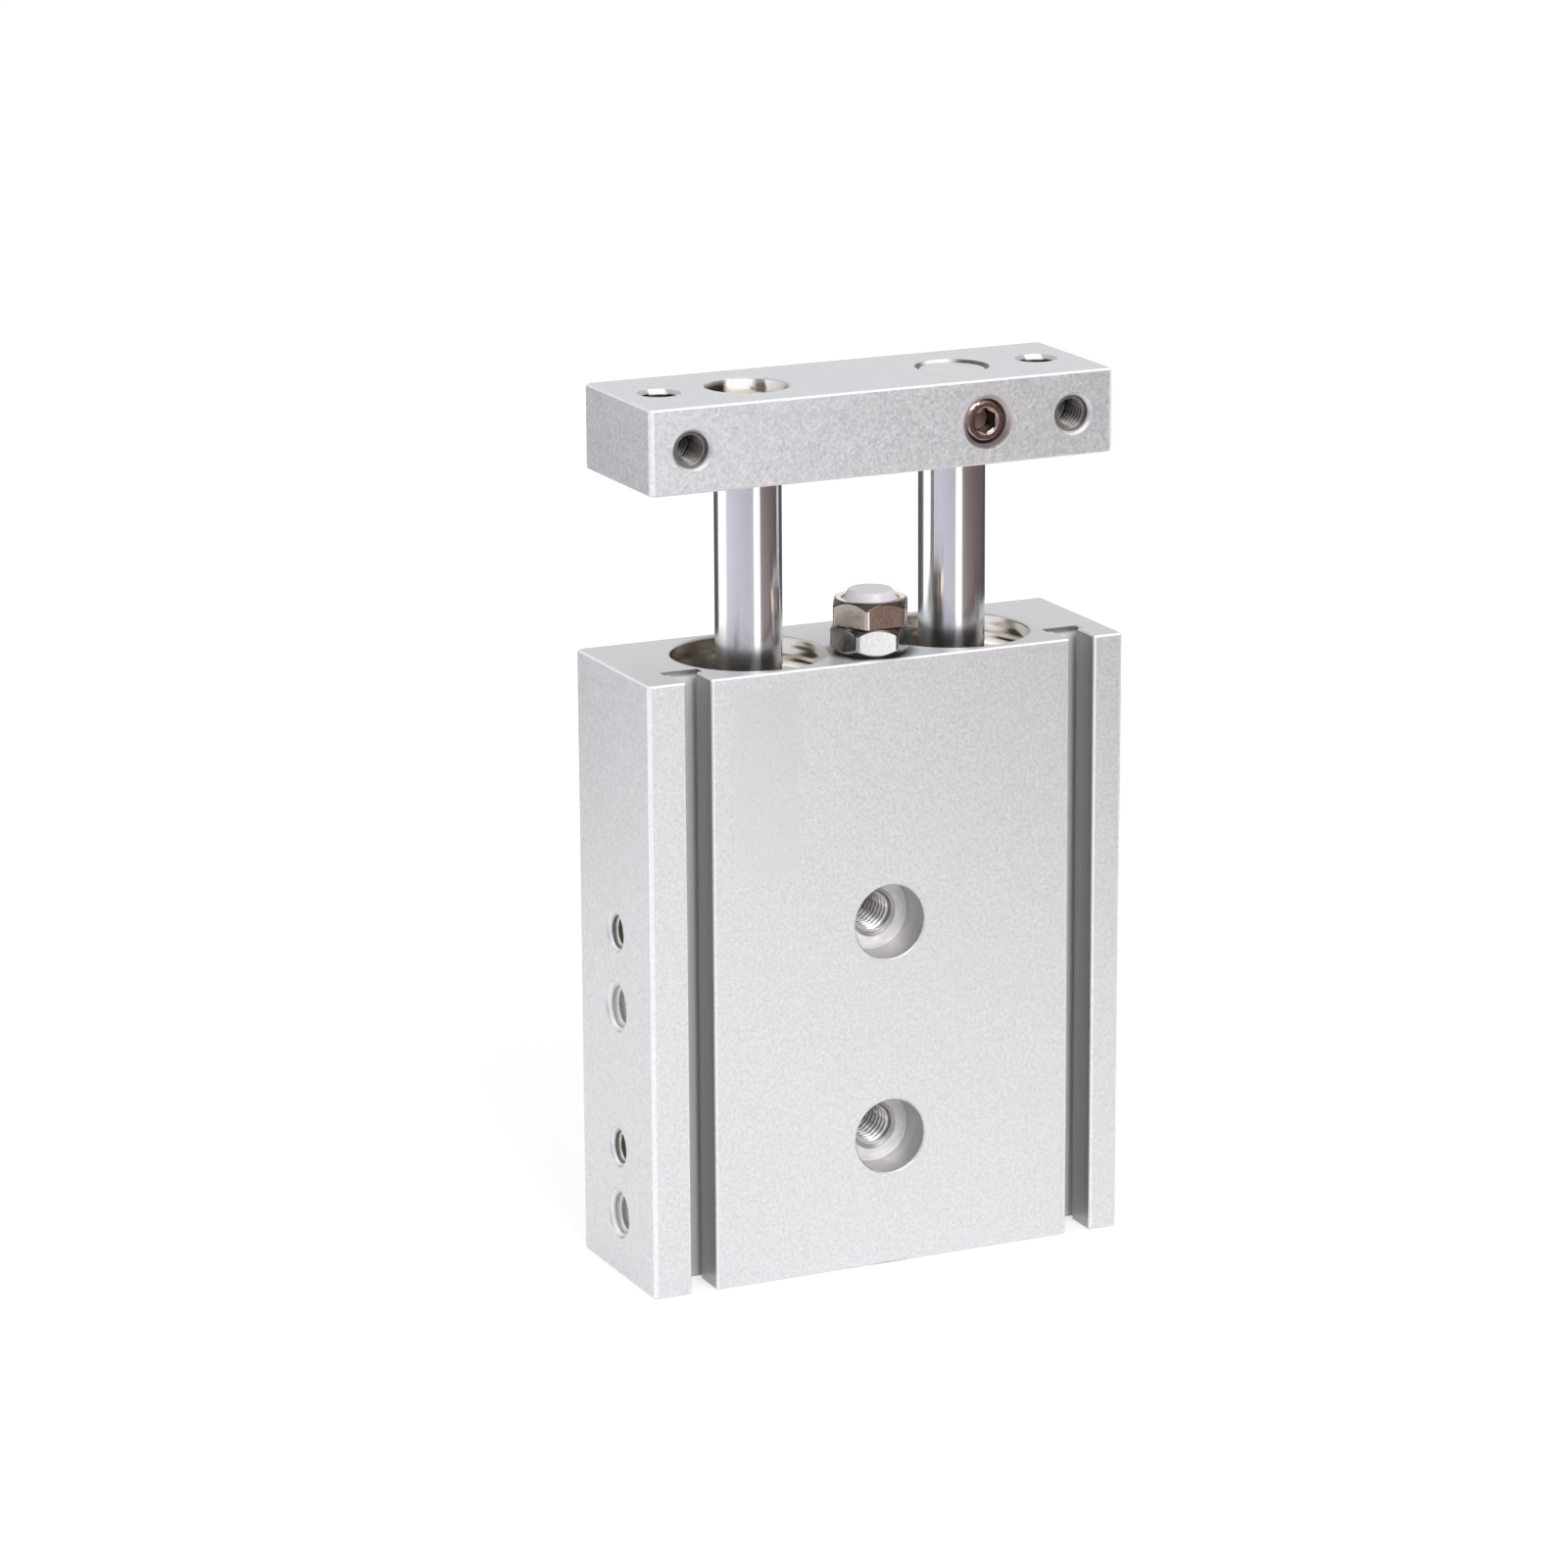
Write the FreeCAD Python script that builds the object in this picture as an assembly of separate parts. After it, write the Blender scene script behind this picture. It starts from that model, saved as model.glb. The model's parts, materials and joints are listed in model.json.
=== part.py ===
import FreeCAD, Part
import math
import os

# Twin-rod pneumatic cylinder, in millimetres, with +Z up along the rods.
# The origin is the centre of the housing's bottom face. The front, at -Y, has the sensor slots.
# The rods stand at full stroke, with the end plate on top.

# Housing extrusion: walls outside the bores and slots, and the slots' place beside the rods,
# shifted to the right so that the side with the ports has more metal
face_wall = 1.2
side_wall = 3.0
edge_chamfer = 0.4
end_chamfer = 0.2
rim_chamfer = 0.15
slot_offset = 10.9
slot_shift = 0.4
slot_mouth = 3.0
slot_lip = 4.1
slot_bar_width = 4.4
slot_bar_depth = 1.4
slot_round = 0.3

# Bores, rods and travel
rod_pitch = 25.0
rod_diameter = 7.5
bore_diameter = 16.0
recess_diameter = 17.6
stroke = 10.0
end_gap = 0.2

# Clearances on the radius
fit_gap = 0.02
running_gap = 0.05
guide_gap = 0.4

# Retaining rings
ring_thickness = 1.0
ring_groove_depth = 0.4
ring_band = 1.2
ring_gap_angle = 40.0
ring_lug_angle = 24.0
ring_lug_reach = 1.4
ring_eye_diameter = 1.2
ring_turn = 25.0

# Rear end of each bore
rear_ring_inset = 0.6
rear_flange = 1.2
rear_spigot = 2.7
rear_dish_diameter = 10.0
rear_dish_depth = 0.5
rear_bumper_diameter = 9.0
rear_bumper_seat = 1.0
rear_bumper_proud = 0.8

# O-rings of the covers
o_ring_section = 1.2
o_ring_groove_width = 1.6

# Pistons
piston_gap = 0.2
nose_diameter = 12.0
nose_length = 2.2
land = 1.3
piston_seal_width = 2.2
piston_seal_depth = 1.7
piston_seal_lip = 0.4
magnet_width = 2.7
magnet_depth = 1.9
magnet_inset = 0.2
wear_ring_width = 2.4
wear_ring_depth = 0.9
wear_ring_split_angle = 6.0
front_bumper_diameter = 12.4
front_bumper_thickness = 1.6
side_play = 0.05

# Rod tails riveted through the pistons
tail_diameter = 5.0
tail_rivet_height = 1.0
tail_rivet_spread = 0.8

# Rod covers and guides
cover_spigot = 29.5
cover_flange = 4.0
cover_funnel = 0.6
cover_o_ring_offset = 3.0
bush_wall = 1.2
bush_length = 22.0
bush_inset = 0.6
rod_seal_height = 3.0
rod_seal_width = 2.0
rod_seal_land = 1.5
rod_seal_lip = 0.6
front_ring_inset = 2.5

# Mounting holes through the housing, and mounting threads in its left side
mount_hole_low = 15.0
mount_hole_pitch = 25.0
mount_thread_diameter = 5.0
counterbore_diameter = 8.5
counterbore_depth = 4.4
side_thread_diameter = 4.0
side_thread_depth = 6.0
thread_chamfer = 0.4
drill_point_angle = 118.0

# Air ports in the left side
port_thread_diameter = 5.0
port_thread_depth = 5.0
port_orifice_diameter = 2.4
port_offset = 1.65
port_chamfer = 0.45

# End plate, set in from the housing's faces
plate_side_inset = 1.0
plate_face_inset = 1.0
plate_thickness = 9.5
plate_chamfer = 0.5
plate_gap = 20.5
plate_thread_offset = 10.5
plate_thread_diameter = 4.0
plate_front_thread_depth = 5.5
rod_seat_depth = 1.5
rod_end_inset = 0.3
rod_end_chamfer = 0.1

# Socket screw that holds the left rod
bolt_diameter = 5.0
bolt_length = 12.0
bolt_hole_gap = 0.25
bolt_thread_spare = 1.5
bolt_head_diameter = 8.5
bolt_head_height = 5.0
bolt_head_gap = 0.45
bolt_head_inset = 1.2
bolt_head_chamfer = 0.4
bolt_socket_flats = 4.0
bolt_socket_depth = 2.5

# Set screw that clamps the right rod
set_screw_diameter = 5.0
set_screw_inset = 0.6
set_screw_chamfer = 0.4
set_screw_flats = 2.5
set_screw_socket_depth = 2.2
set_screw_socket_turn = 30.0
set_screw_hole_chamfer = 0.6

# Stroke adjuster
adjuster_setback = 5.0
adjuster_diameter = 5.0
adjuster_flats = 8.0
adjuster_head_height = 2.8
adjuster_shank = 16.0
adjuster_hole_spare = 2.0
adjuster_bumper_diameter = 6.4
adjuster_bumper_seat = 1.0
adjuster_bumper_ledge = 0.35
adjuster_bumper_ledge_inset = 0.3
adjuster_bumper_proud = 0.95
adjuster_bumper_chamfer = 0.75
lock_nut_height = 3.3
lock_nut_turn = -15.0
hex_bevel_angle = 45.0
hex_bevel_start = 0.9

# Levels along each bore, from the bottom face up, with the pistons at full stroke
rear_cover_base = rear_ring_inset + ring_thickness
rear_step = rear_cover_base + rear_flange
chamber_floor = rear_step + rear_spigot
piston_base = chamber_floor + rear_bumper_proud + end_gap + stroke
seal_groove_base = piston_base + nose_length + land
magnet_groove_base = seal_groove_base + piston_seal_width + land
wear_groove_base = magnet_groove_base + magnet_width + land
piston_top = wear_groove_base + wear_ring_width + land
chamber_roof = piston_top + front_bumper_thickness + end_gap
front_step = chamber_roof + cover_spigot
cover_top = front_step + cover_flange
front_ring_top = cover_top + ring_thickness
body_height = front_ring_top + front_ring_inset
plate_base = body_height + plate_gap
plate_top = plate_base + plate_thickness
plate_middle = (plate_base + plate_top) / 2

# Section of the housing and outline of the end plate
slot_x = rod_pitch / 2 + slot_offset
body_width = 2 * (slot_x + slot_shift + slot_bar_width / 2 + side_wall)
body_depth = recess_diameter + 2 * face_wall
plate_width = body_width - 2 * plate_side_inset
plate_depth = body_depth - 2 * plate_face_inset
plate_thread_x = rod_pitch / 2 + plate_thread_offset

# Radii and places that several pieces share
bore_radius = bore_diameter / 2
recess_radius = recess_diameter / 2
groove_radius = recess_radius + ring_groove_depth
rod_radius = rod_diameter / 2
piston_radius = bore_radius - piston_gap
tail_radius = tail_diameter / 2
bush_bore = rod_radius + running_gap
bush_radius = bush_bore + bush_wall
bush_base = chamber_roof + bush_inset
bush_top = bush_base + bush_length
cover_hole = rod_radius + guide_gap
rod_seal_radius = rod_radius + rod_seal_width
rod_seal_top = cover_top - rod_seal_land
rod_seal_base = rod_seal_top - rod_seal_height
cover_groove_base = chamber_roof + cover_o_ring_offset
rear_groove_base = rear_step + (rear_spigot - o_ring_groove_width) / 2
bolt_radius = bolt_diameter / 2
bolt_seat = plate_top - bolt_head_inset - bolt_head_height
rod_seat = plate_base + rod_seat_depth
set_screw_tip = rod_radius + fit_gap
set_screw_length = plate_depth / 2 - set_screw_inset - set_screw_tip
adjuster_y = -body_depth / 2 + adjuster_setback
head_base = body_height + lock_nut_height
head_top = head_base + adjuster_head_height

ORIGIN = FreeCAD.Vector(0, 0, 0)
UP = FreeCAD.Vector(0, 0, 1)
DOWN = FreeCAD.Vector(0, 0, -1)
RIGHT = FreeCAD.Vector(1, 0, 0)
BACK = FreeCAD.Vector(0, 1, 0)
SIDES = {"left": -rod_pitch / 2, "right": rod_pitch / 2}
SLOTS = (slot_shift - slot_x, slot_shift + slot_x)


def turned(profile, base=ORIGIN, direction=UP):
    """Solid turned about the line from base along direction, from (radius, height) corners."""
    corners = [FreeCAD.Vector(radius, 0, height) for radius, height in profile]
    solid = Part.Face(Part.makePolygon(corners + corners[:1])).revolve(ORIGIN, UP, 360)
    solid.Placement = FreeCAD.Placement(base, FreeCAD.Rotation(UP, direction))
    return solid


def sector(inner, outer, base, height, start, sweep):
    """Part of a flat ring about the vertical axis, from the angle start over the angle sweep."""
    low = FreeCAD.Vector(inner, 0, base)
    corners = [low, FreeCAD.Vector(outer, 0, base), FreeCAD.Vector(outer, 0, base + height)]
    corners.append(FreeCAD.Vector(inner, 0, base + height))
    solid = Part.Face(Part.makePolygon(corners + [low])).revolve(ORIGIN, UP, sweep)
    solid.rotate(ORIGIN, UP, start)
    return solid


def hexagon(flats, height, base=ORIGIN, direction=UP, turn=0.0):
    """Hexagonal prism with the given distance across flats, turned about its own axis."""
    corner = flats / math.sqrt(3)
    angles = [math.radians(60 * i + turn) for i in range(7)]
    outline = [FreeCAD.Vector(corner * math.cos(a), corner * math.sin(a), 0) for a in angles]
    prism = Part.Face(Part.makePolygon(outline)).extrude(UP * height)
    prism.Placement = FreeCAD.Placement(base, FreeCAD.Rotation(UP, direction))
    return prism


def bevelled_hexagon(flats, height, base, turn, bevel_below):
    """Hexagonal prism whose corners are turned off to a cone on top, and below where asked."""
    corner = flats / math.sqrt(3)
    face_radius = hex_bevel_start * flats / 2
    bevel = (corner - face_radius) * math.tan(math.radians(hex_bevel_angle))
    low = [(face_radius, 0), (corner, bevel)] if bevel_below else [(corner, 0)]
    profile = [(0, 0)] + low + [(corner, height - bevel), (face_radius, height), (0, height)]
    return hexagon(flats, height, base, UP, turn).common(turned(profile, base))


def tapped_hole(diameter, depth, chamfer, mouth, direction):
    """Cutter for a blind tapped hole: the thread's outer wall, a mouth chamfer and a drill point."""
    radius = diameter / 2
    point = depth + radius / math.tan(math.radians(drill_point_angle / 2))
    profile = [(0, 0), (radius + chamfer, 0), (radius, chamfer), (radius, depth), (0, point)]
    return turned(profile, mouth, direction)


def through_hole(radius, length, chamfer, mouth, direction):
    """Cutter for a round hole with both mouths chamfered."""
    profile = [(0, 0), (radius + chamfer, 0), (radius, chamfer), (radius, length - chamfer)]
    return turned(profile + [(radius + chamfer, length), (0, length)], mouth, direction)


def slot_outline(x):
    """Corners of one T-shaped sensor slot in the front face, from left to right."""
    front = -body_depth / 2
    bar = front + slot_lip
    floor = bar + slot_bar_depth
    right_half = [
        (slot_bar_width / 2, floor),
        (slot_bar_width / 2, bar),
        (slot_mouth / 2, bar),
        (slot_mouth / 2, front),
    ]
    left_half = [(-offset, y) for offset, y in reversed(right_half)]
    return [(x + offset, y) for offset, y in left_half + right_half]


def upright(shape):
    """Edges of a shape that run along the rods."""
    return [edge for edge in shape.Edges if abs(edge.tangentAt(edge.FirstParameter).z) > 0.5]


def level(shape):
    """Edges of a shape that run across the rods."""
    return [edge for edge in shape.Edges if abs(edge.tangentAt(edge.FirstParameter).z) < 0.5]


def in_slot_bar(edge):
    """Whether an edge at an end of the housing borders the wide inner part of a slot."""
    centre = edge.BoundBox.Center
    from_bar = abs(centre.y + body_depth / 2 - slot_lip - slot_bar_depth / 2)
    return from_bar < slot_bar_depth / 2 + fit_gap and abs(centre.x) < body_width / 2 - side_wall


def extrusion():
    """Plain length of the housing's section, with rounded slot lips, broken corners and broken ends."""
    side = body_width / 2
    front = -body_depth / 2
    outline = [(-side, front)]
    for x in SLOTS:
        outline += slot_outline(x)
    outline += [(side, front), (side, -front), (-side, -front)]
    points = [FreeCAD.Vector(x, y, 0) for x, y in outline]
    bar = Part.Face(Part.makePolygon(points + points[:1])).extrude(UP * body_height)
    middle = side - side_wall
    lips = [edge for edge in upright(bar) if abs(edge.BoundBox.Center.x) < middle]
    bar = bar.makeFillet(slot_round, [edge for edge in lips if edge.BoundBox.YMax < front + slot_lip / 2])
    corners = [edge for edge in upright(bar) if abs(edge.BoundBox.Center.x) > middle]
    bar = bar.makeChamfer(edge_chamfer, corners)
    return bar.makeChamfer(end_chamfer, [edge for edge in level(bar) if not in_slot_bar(edge)])


def bore_cutter(x):
    """One bore with its two recesses, ring grooves and chamfered rims."""
    rim = recess_radius + rim_chamfer
    rear = [
        (0, 0),
        (rim, 0),
        (recess_radius, rim_chamfer),
        (recess_radius, rear_ring_inset),
        (groove_radius, rear_ring_inset),
        (groove_radius, rear_cover_base),
        (recess_radius, rear_cover_base),
        (recess_radius, rear_step),
        (bore_radius, rear_step),
    ]
    front = [
        (bore_radius, front_step),
        (recess_radius, front_step),
        (recess_radius, cover_top),
        (groove_radius, cover_top),
        (groove_radius, front_ring_top),
        (recess_radius, front_ring_top),
        (recess_radius, body_height - rim_chamfer),
        (rim, body_height),
        (0, body_height),
    ]
    return turned(rear + front, FreeCAD.Vector(x, 0, 0))


def mount_hole_cutter(z):
    """Threaded hole from front to back, with a counterbore in each face."""
    face = body_depth / 2
    thread = mount_thread_diameter / 2
    bore = counterbore_diameter / 2
    floor = face - counterbore_depth
    back_half = [
        (thread, floor - thread_chamfer),
        (thread + thread_chamfer, floor),
        (bore, floor),
        (bore, face - rim_chamfer),
        (bore + rim_chamfer, face),
        (0, face),
    ]
    front_half = [(radius, -y) for radius, y in reversed(back_half)]
    return turned(front_half + back_half, FreeCAD.Vector(0, 0, z), BACK)


def port_cutters(z):
    """Threaded port in the left side, and the drilling that feeds both bores through the web."""
    mouth = FreeCAD.Vector(-body_width / 2, 0, z)
    thread = tapped_hole(port_thread_diameter, port_thread_depth, port_chamfer, mouth, RIGHT)
    reach = body_width / 2 + rod_pitch / 2
    return [thread, Part.makeCylinder(port_orifice_diameter / 2, reach, mouth, RIGHT)]


def make_body():
    """Housing: the extrusion with its bores, ports, mounting holes and the adjuster's hole."""
    cutters = [bore_cutter(x) for x in SIDES.values()]
    for z in (mount_hole_low, mount_hole_low + mount_hole_pitch):
        cutters.append(mount_hole_cutter(z))
        mouth = FreeCAD.Vector(-body_width / 2, 0, z)
        cutters.append(tapped_hole(side_thread_diameter, side_thread_depth, thread_chamfer, mouth, RIGHT))
    for z in (chamber_floor + port_offset, chamber_roof - port_offset):
        cutters += port_cutters(z)
    adjuster_mouth = FreeCAD.Vector(0, adjuster_y, body_height)
    adjuster_depth = adjuster_shank - lock_nut_height + adjuster_hole_spare
    cutters.append(tapped_hole(adjuster_diameter, adjuster_depth, thread_chamfer, adjuster_mouth, DOWN))
    return extrusion().cut(cutters)


def make_retaining_ring(x, base):
    """Snap ring with an open gap, two lugs that reach inward and an eye in each."""
    outer = groove_radius - fit_gap
    inner = recess_radius - ring_band
    lug_inner = inner - ring_lug_reach
    half_gap = ring_gap_angle / 2
    ring = sector(inner, outer, base, ring_thickness, half_gap, 360 - ring_gap_angle)
    eye_radius = (lug_inner + recess_radius) / 2
    for side in (1, -1):
        start = half_gap if side > 0 else -half_gap - ring_lug_angle
        lug_outer = recess_radius - fit_gap
        ring = ring.fuse(sector(lug_inner, lug_outer, base, ring_thickness, start, ring_lug_angle))
    for side in (1, -1):
        angle = math.radians(side * (half_gap + ring_lug_angle / 2))
        eye = FreeCAD.Vector(eye_radius * math.cos(angle), eye_radius * math.sin(angle), base)
        ring = ring.cut(Part.makeCylinder(ring_eye_diameter / 2, ring_thickness, eye, UP))
    ring = ring.removeSplitter()
    ring.rotate(ORIGIN, UP, ring_turn)
    ring.translate(FreeCAD.Vector(x, 0, 0))
    return ring


def make_o_ring(x, groove_base):
    """O-ring that fills the groove between a cover and the bore."""
    section = o_ring_section / 2 - fit_gap
    middle = FreeCAD.Vector(x, 0, groove_base + o_ring_groove_width / 2)
    return Part.makeTorus(bore_radius - o_ring_section / 2, section, middle, UP)


def make_rear_cover(x):
    """Plug that closes the bore from below, with its O-ring groove and the bumper's seat."""
    flange = recess_radius - fit_gap
    spigot = bore_radius - fit_gap
    groove = bore_radius - o_ring_section
    seat = rear_bumper_diameter / 2 + fit_gap
    dish = rear_dish_diameter / 2
    profile = [
        (0, rear_cover_base + rear_dish_depth),
        (dish, rear_cover_base + rear_dish_depth),
        (dish + rear_dish_depth, rear_cover_base),
        (flange, rear_cover_base),
        (flange, rear_step),
        (spigot, rear_step),
        (spigot, rear_groove_base),
        (groove, rear_groove_base),
        (groove, rear_groove_base + o_ring_groove_width),
        (spigot, rear_groove_base + o_ring_groove_width),
        (spigot, chamber_floor),
        (seat, chamber_floor),
        (seat, chamber_floor - rear_bumper_seat),
        (0, chamber_floor - rear_bumper_seat),
    ]
    return turned(profile, FreeCAD.Vector(x, 0, 0))


def make_rear_bumper(x):
    """Soft pad that stops the retracting piston."""
    radius = rear_bumper_diameter / 2
    base = chamber_floor - rear_bumper_seat
    top = chamber_floor + rear_bumper_proud
    shoulder = top - rear_bumper_proud / 2
    profile = [(0, base), (radius, base), (radius, shoulder)]
    profile += [(radius - rear_bumper_proud / 2, top), (0, top)]
    return turned(profile, FreeCAD.Vector(x, 0, 0))


def make_piston(x):
    """Piston with grooves for its seal, magnet and wear ring, and a countersunk hole for the rod."""
    nose = nose_diameter / 2
    step = piston_base + nose_length
    profile = [(tail_radius + tail_rivet_spread, piston_base), (nose, piston_base), (nose, step)]
    profile.append((piston_radius, step))
    grooves = [
        (seal_groove_base, piston_seal_width, piston_seal_depth),
        (magnet_groove_base, magnet_width, magnet_depth),
        (wear_groove_base, wear_ring_width, wear_ring_depth),
    ]
    for base, width, depth in grooves:
        floor = bore_radius - depth
        profile += [(piston_radius, base), (floor, base), (floor, base + width), (piston_radius, base + width)]
    profile += [(piston_radius, piston_top), (tail_radius, piston_top)]
    profile.append((tail_radius, piston_base + tail_rivet_height))
    return turned(profile, FreeCAD.Vector(x, 0, 0))


def make_piston_seal(x):
    """Seal ring with both rims of its running face bevelled."""
    inner = bore_radius - piston_seal_depth + fit_gap
    outer = bore_radius - running_gap
    base = seal_groove_base + side_play
    top = seal_groove_base + piston_seal_width - side_play
    profile = [(inner, base), (outer - piston_seal_lip, base), (outer, base + piston_seal_lip)]
    profile += [(outer, top - piston_seal_lip), (outer - piston_seal_lip, top), (inner, top)]
    return turned(profile, FreeCAD.Vector(x, 0, 0))


def make_piston_magnet(x):
    """Magnet ring that the sensors in the slots detect."""
    inner = bore_radius - magnet_depth + fit_gap
    outer = piston_radius - magnet_inset
    base = magnet_groove_base + side_play
    top = magnet_groove_base + magnet_width - side_play
    return turned([(inner, base), (outer, base), (outer, top), (inner, top)], FreeCAD.Vector(x, 0, 0))


def make_wear_ring(x):
    """Split guide band that keeps the piston off the bore."""
    inner = bore_radius - wear_ring_depth + fit_gap
    outer = bore_radius - running_gap
    height = wear_ring_width - 2 * side_play
    sweep = 360 - wear_ring_split_angle
    band = sector(inner, outer, wear_groove_base + side_play, height, 0.0, sweep)
    band.translate(FreeCAD.Vector(x, 0, 0))
    return band


def make_front_bumper(x):
    """Soft ring on the piston that stops it under the rod cover."""
    inner = rod_radius + fit_gap
    outer = front_bumper_diameter / 2
    top = piston_top + front_bumper_thickness
    shoulder = top - front_bumper_thickness / 2
    profile = [(inner, piston_top), (outer, piston_top), (outer, shoulder)]
    profile += [(outer - front_bumper_thickness / 2, top), (inner, top)]
    return turned(profile, FreeCAD.Vector(x, 0, 0))


def make_rod_cover(x):
    """Long guide sleeve with a flange, an O-ring groove outside and seats for the bush and the rod seal."""
    spigot = bore_radius - fit_gap
    flange = recess_radius - fit_gap
    groove = bore_radius - o_ring_section
    bush_seat = bush_radius + fit_gap
    outside = [
        (bush_seat, chamber_roof),
        (spigot - edge_chamfer, chamber_roof),
        (spigot, chamber_roof + edge_chamfer),
        (spigot, cover_groove_base),
        (groove, cover_groove_base),
        (groove, cover_groove_base + o_ring_groove_width),
        (spigot, cover_groove_base + o_ring_groove_width),
        (spigot, front_step),
        (flange, front_step),
        (flange, cover_top),
    ]
    inside = [
        (cover_hole + cover_funnel, cover_top),
        (cover_hole, cover_top - cover_funnel),
        (cover_hole, rod_seal_top),
        (rod_seal_radius, rod_seal_top),
        (rod_seal_radius, rod_seal_base),
        (cover_hole, rod_seal_base),
        (cover_hole, bush_top),
        (bush_seat, bush_top),
    ]
    return turned(outside + inside, FreeCAD.Vector(x, 0, 0))


def make_guide_bush(x):
    """Plain bearing pressed into the rod cover from below."""
    profile = [(bush_bore, bush_base), (bush_radius, bush_base)]
    profile += [(bush_radius, bush_top), (bush_bore, bush_top)]
    return turned(profile, FreeCAD.Vector(x, 0, 0))


def make_rod_seal(x):
    """Lip seal round the rod: a body in the groove and a lip that runs down to the rod."""
    lip = rod_radius + running_gap
    outer = rod_seal_radius - fit_gap
    base = rod_seal_base + side_play
    top = rod_seal_top - side_play
    profile = [(lip, base), (outer, base), (outer, top), (lip + rod_seal_lip, top)]
    profile.append((lip, top - rod_seal_lip))
    return turned(profile, FreeCAD.Vector(x, 0, 0))


def rod_profile(top):
    """Half section of a rod from its riveted tail up to the given height."""
    tail = tail_radius - fit_gap
    rivet = piston_base + tail_rivet_height
    return [
        (0, piston_base + fit_gap),
        (tail + tail_rivet_spread, piston_base + fit_gap),
        (tail, rivet),
        (tail, piston_top),
        (rod_radius, piston_top),
        (rod_radius, top - rod_end_chamfer),
        (rod_radius - rod_end_chamfer, top),
        (0, top),
    ]


def make_left_rod():
    """Rod that seats in the end plate from below, with a tapped hole for its socket screw."""
    place = FreeCAD.Vector(SIDES["left"], 0, 0)
    depth = rod_seat - bolt_seat + bolt_length + bolt_thread_spare
    mouth = FreeCAD.Vector(SIDES["left"], 0, rod_seat)
    thread = tapped_hole(bolt_diameter, depth, thread_chamfer, mouth, DOWN)
    return turned(rod_profile(rod_seat), place).cut(thread)


def make_right_rod():
    """Rod that passes through the end plate and is clamped by the set screw."""
    return turned(rod_profile(plate_top - rod_end_inset), FreeCAD.Vector(SIDES["right"], 0, 0))


def make_end_plate():
    """Bar across both rods, tapped for a load on its top and front."""
    corner = FreeCAD.Vector(-plate_width / 2, -plate_depth / 2, plate_base)
    block = Part.makeBox(plate_width, plate_depth, plate_thickness, corner)
    block = block.makeChamfer(plate_chamfer, upright(block))
    block = block.makeChamfer(end_chamfer, level(block))
    hole = rod_radius + fit_gap
    left_top = FreeCAD.Vector(SIDES["left"], 0, plate_top)
    head_bore = bolt_head_diameter / 2 + bolt_head_gap
    screw_hole = bolt_radius + bolt_hole_gap
    left_profile = [
        (0, 0),
        (head_bore + rim_chamfer, 0),
        (head_bore, rim_chamfer),
        (head_bore, plate_top - bolt_seat),
        (screw_hole, plate_top - bolt_seat),
        (screw_hole, plate_top - rod_seat),
        (hole, plate_top - rod_seat),
        (hole, plate_thickness),
        (0, plate_thickness),
    ]
    right_top = FreeCAD.Vector(SIDES["right"], 0, plate_top)
    cutters = [turned(left_profile, left_top, DOWN)]
    cutters.append(through_hole(hole, plate_thickness, edge_chamfer, right_top, DOWN))
    front = -plate_depth / 2
    set_screw_mouth = FreeCAD.Vector(SIDES["right"], front, plate_middle)
    set_screw_hole = set_screw_diameter / 2 + fit_gap
    rim = set_screw_hole + set_screw_hole_chamfer
    clamp_profile = [(0, 0), (rim, 0), (set_screw_hole, set_screw_hole_chamfer)]
    clamp_profile += [(set_screw_hole, -front), (0, -front)]
    cutters.append(turned(clamp_profile, set_screw_mouth, BACK))
    for x in (-plate_thread_x, plate_thread_x):
        top = FreeCAD.Vector(x, 0, plate_top)
        cutters.append(through_hole(plate_thread_diameter / 2, plate_thickness, thread_chamfer, top, DOWN))
        mouth = FreeCAD.Vector(x, front, plate_middle)
        cutters.append(
            tapped_hole(plate_thread_diameter, plate_front_thread_depth, thread_chamfer, mouth, BACK)
        )
    return block.cut(cutters)


def make_rod_bolt():
    """Socket head cap screw, seated in the end plate's counterbore."""
    place = FreeCAD.Vector(SIDES["left"], 0, bolt_seat)
    shank = bolt_radius - fit_gap
    head = bolt_head_diameter / 2
    tip = -bolt_length
    profile = [
        (0, tip),
        (shank - bolt_head_chamfer, tip),
        (shank, tip + bolt_head_chamfer),
        (shank, 0),
        (head, 0),
        (head, bolt_head_height - bolt_head_chamfer),
        (head - bolt_head_chamfer, bolt_head_height),
        (0, bolt_head_height),
    ]
    socket_base = FreeCAD.Vector(SIDES["left"], 0, bolt_seat + bolt_head_height - bolt_socket_depth)
    return turned(profile, place).cut(hexagon(bolt_socket_flats, bolt_socket_depth, socket_base))


def make_set_screw():
    """Headless screw with a hexagon socket, its tip against the right rod."""
    radius = set_screw_diameter / 2
    face = FreeCAD.Vector(SIDES["right"], -plate_depth / 2 + set_screw_inset, plate_middle)
    profile = [
        (0, 0),
        (radius - set_screw_chamfer, 0),
        (radius, set_screw_chamfer),
        (radius, set_screw_length - set_screw_chamfer),
        (radius - set_screw_chamfer, set_screw_length),
        (0, set_screw_length),
    ]
    socket = hexagon(set_screw_flats, set_screw_socket_depth, face, BACK, set_screw_socket_turn)
    body = turned(profile, face, BACK).cut(socket)
    rod = Part.makeCylinder(set_screw_tip, plate_thickness, FreeCAD.Vector(SIDES["right"], 0, plate_base), UP)
    return body.cut(rod)


def make_lock_nut():
    """Nut that locks the adjusting bolt against the housing."""
    place = FreeCAD.Vector(0, adjuster_y, body_height)
    nut = bevelled_hexagon(adjuster_flats, lock_nut_height, place, lock_nut_turn, True)
    top = FreeCAD.Vector(0, adjuster_y, head_base)
    return nut.cut(through_hole(adjuster_diameter / 2, lock_nut_height, thread_chamfer, top, DOWN))


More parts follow.
